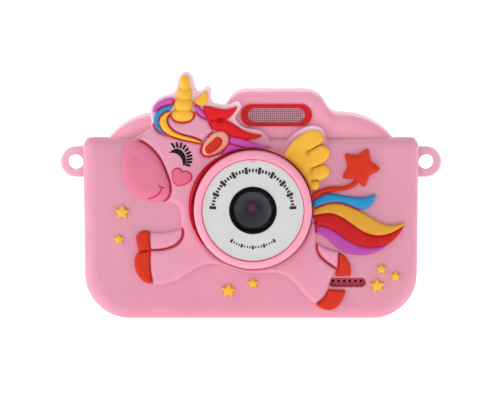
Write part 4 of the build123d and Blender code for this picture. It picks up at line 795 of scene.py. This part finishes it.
def felt():
    """Dark slot-shaped pad that closes the grille from behind: a black felt, and painted shade in the
    grille's holes.
    """
    rim = [(side * FELT_HALF + FELT_RADIUS * math.cos(turn), FELT_RADIUS * math.sin(turn))
           for side, first in ((1, -90), (-1, 90))
           for turn in np.radians(np.linspace(first, first + 180, FELT_END_POINTS))]
    count = len(rim)
    points = [(GRILLE_CENTRE.x + x, y, GRILLE_CENTRE.z + z)
              for y in (GRILLE_BACK + FELT_FRONT, GRILLE_BACK + FELT_BACK) for x, z in rim]
    faces = [tuple(range(count)), tuple(reversed(range(count, 2 * count)))]
    faces += [(k, k + count, (k + 1) % count + count, (k + 1) % count) for k in range(count)]
    black = finish("felt", (10, 8, 10), 0.95, 0.3, 0.4, 0.1, 0.03, Specular_IOR_Level=0.05)
    add_piece("speaker_felt_and_shade", points, faces, "switch_black", black)


felt()


# ------------------------------------------------------------------ stage, lights and camera, in metres
FLOOR_FRONT, FLOOR_BACK, FLOOR_HALF_WIDTH = -1.6, 0.7, 2.2
BEND_RADIUS = 0.6
BEND_TURNS = np.linspace(0.08, math.pi / 2, 18)
BACKDROP_TOP = 2.4
# y where the paper's glow starts to rise and where it is full, and how strong it is there
GLOW_START, GLOW_END = -0.5, -0.2
GLOW_FAINT, GLOW_FULL = 0.1, 0.66


def glowing_studio_paper():
    """White paper with a painted glow that is full round and behind the object and faint in front of the
    camera.
    """
    paper = finish("glowing_studio_paper", (250, 250, 250), 0.9, 0.004, 200.0, 3.0, 0.02,
                   Emission_Color=(1, 1, 1, 1))
    nodes, links = paper.node_tree.nodes, paper.node_tree.links
    place = nodes.new("ShaderNodeTexCoord")
    parts = nodes.new("ShaderNodeSeparateXYZ")
    links.new(place.outputs["Object"], parts.inputs["Vector"])
    glow = nodes.new("ShaderNodeMapRange")
    glow.inputs["From Min"].default_value = GLOW_START
    glow.inputs["From Max"].default_value = GLOW_END
    glow.inputs["To Min"].default_value = GLOW_FAINT
    glow.inputs["To Max"].default_value = GLOW_FULL
    links.new(parts.outputs["Y"], glow.inputs["Value"])
    links.new(glow.outputs["Result"], nodes["Principled BSDF"].inputs["Emission Strength"])
    return paper


def sweep_floor():
    """A white floor that curves up into a backdrop."""
    profile = [(FLOOR_FRONT, 0.0), (FLOOR_BACK, 0.0)]
    profile += [(FLOOR_BACK + BEND_RADIUS * math.sin(turn), BEND_RADIUS - BEND_RADIUS * math.cos(turn))
                for turn in BEND_TURNS]
    profile.append((FLOOR_BACK + BEND_RADIUS, BACKDROP_TOP))
    points = [(x, y, z) for y, z in profile for x in (-FLOOR_HALF_WIDTH, FLOOR_HALF_WIDTH)]
    faces = [(2 * k, 2 * k + 1, 2 * k + 3, 2 * k + 2) for k in range(len(profile) - 1)]
    mesh = bpy.data.meshes.new("studio_floor")
    mesh.from_pydata(points, [], faces)
    mesh.polygons.foreach_set("use_smooth", [True] * len(mesh.polygons))
    floor = bpy.data.objects.new("studio_floor", mesh)
    bpy.context.scene.collection.objects.link(floor)
    mesh.materials.append(glowing_studio_paper())


sweep_floor()

# name, place, aim, size and power
LIGHTS = [
    ("left", (-1.1, -0.35, 0.45), (0, 0, 0.035), (1.0, 1.1), 7.2),
    ("right", (1.2, -0.25, 0.5), (0, 0, 0.035), (0.9, 1.1), 4.2),
    ("front", (-0.35, -1.3, 0.9), (0, 0, 0.035), (0.9, 0.7), 3.2),
    ("top", (0.0, 0.15, 1.2), (0, 0, 0.03), (1.2, 0.8), 4.4),
]
WORLD_STRENGTH = 0.24


def soft_light(name, place, aim, size, power):
    """A large rectangular lamp at a place, turned towards a point."""
    lamp_data = bpy.data.lights.new(name, "AREA")
    lamp_data.shape = "RECTANGLE"
    lamp_data.size, lamp_data.size_y = size
    lamp_data.energy = power
    lamp = bpy.data.objects.new(name, lamp_data)
    lamp.location = place
    lamp.rotation_mode = "QUATERNION"
    lamp.rotation_quaternion = (Vector(aim) - Vector(place)).to_track_quat("-Z", "Y")
    bpy.context.scene.collection.objects.link(lamp)


for light in LIGHTS:
    soft_light(*light)

world = bpy.data.worlds.new("studio")
world.use_nodes = True
background = world.node_tree.nodes["Background"]
background.inputs["Color"].default_value = (1, 1, 1, 1)
background.inputs["Strength"].default_value = WORLD_STRENGTH
bpy.context.scene.world = world
bpy.context.scene.view_settings.view_transform = "Standard"

# the view looks at the front from a little above, and VIEW_WIDTH is what it takes in at its centre
VIEW_CENTRE = Vector((-0.3, -13.5, 37.4)) * MM
VIEW_WIDTH = 155.7 * MM
VIEW_DISTANCE = 1.1
VIEW_LIFT = math.radians(5)
SENSOR_WIDTH = 36.0
view_data = bpy.data.cameras.new("view")
view_data.sensor_width = SENSOR_WIDTH
view_data.lens = SENSOR_WIDTH * VIEW_DISTANCE / VIEW_WIDTH
view_data.clip_start, view_data.clip_end = 0.05, 20.0
view = bpy.data.objects.new("view", view_data)
towards_viewer = Vector((0, -math.cos(VIEW_LIFT), math.sin(VIEW_LIFT)))
view.location = VIEW_CENTRE + towards_viewer * VIEW_DISTANCE
view.rotation_mode = "QUATERNION"
view.rotation_quaternion = (-towards_viewer).to_track_quat("-Z", "Y")
bpy.context.scene.collection.objects.link(view)
bpy.context.scene.camera = view
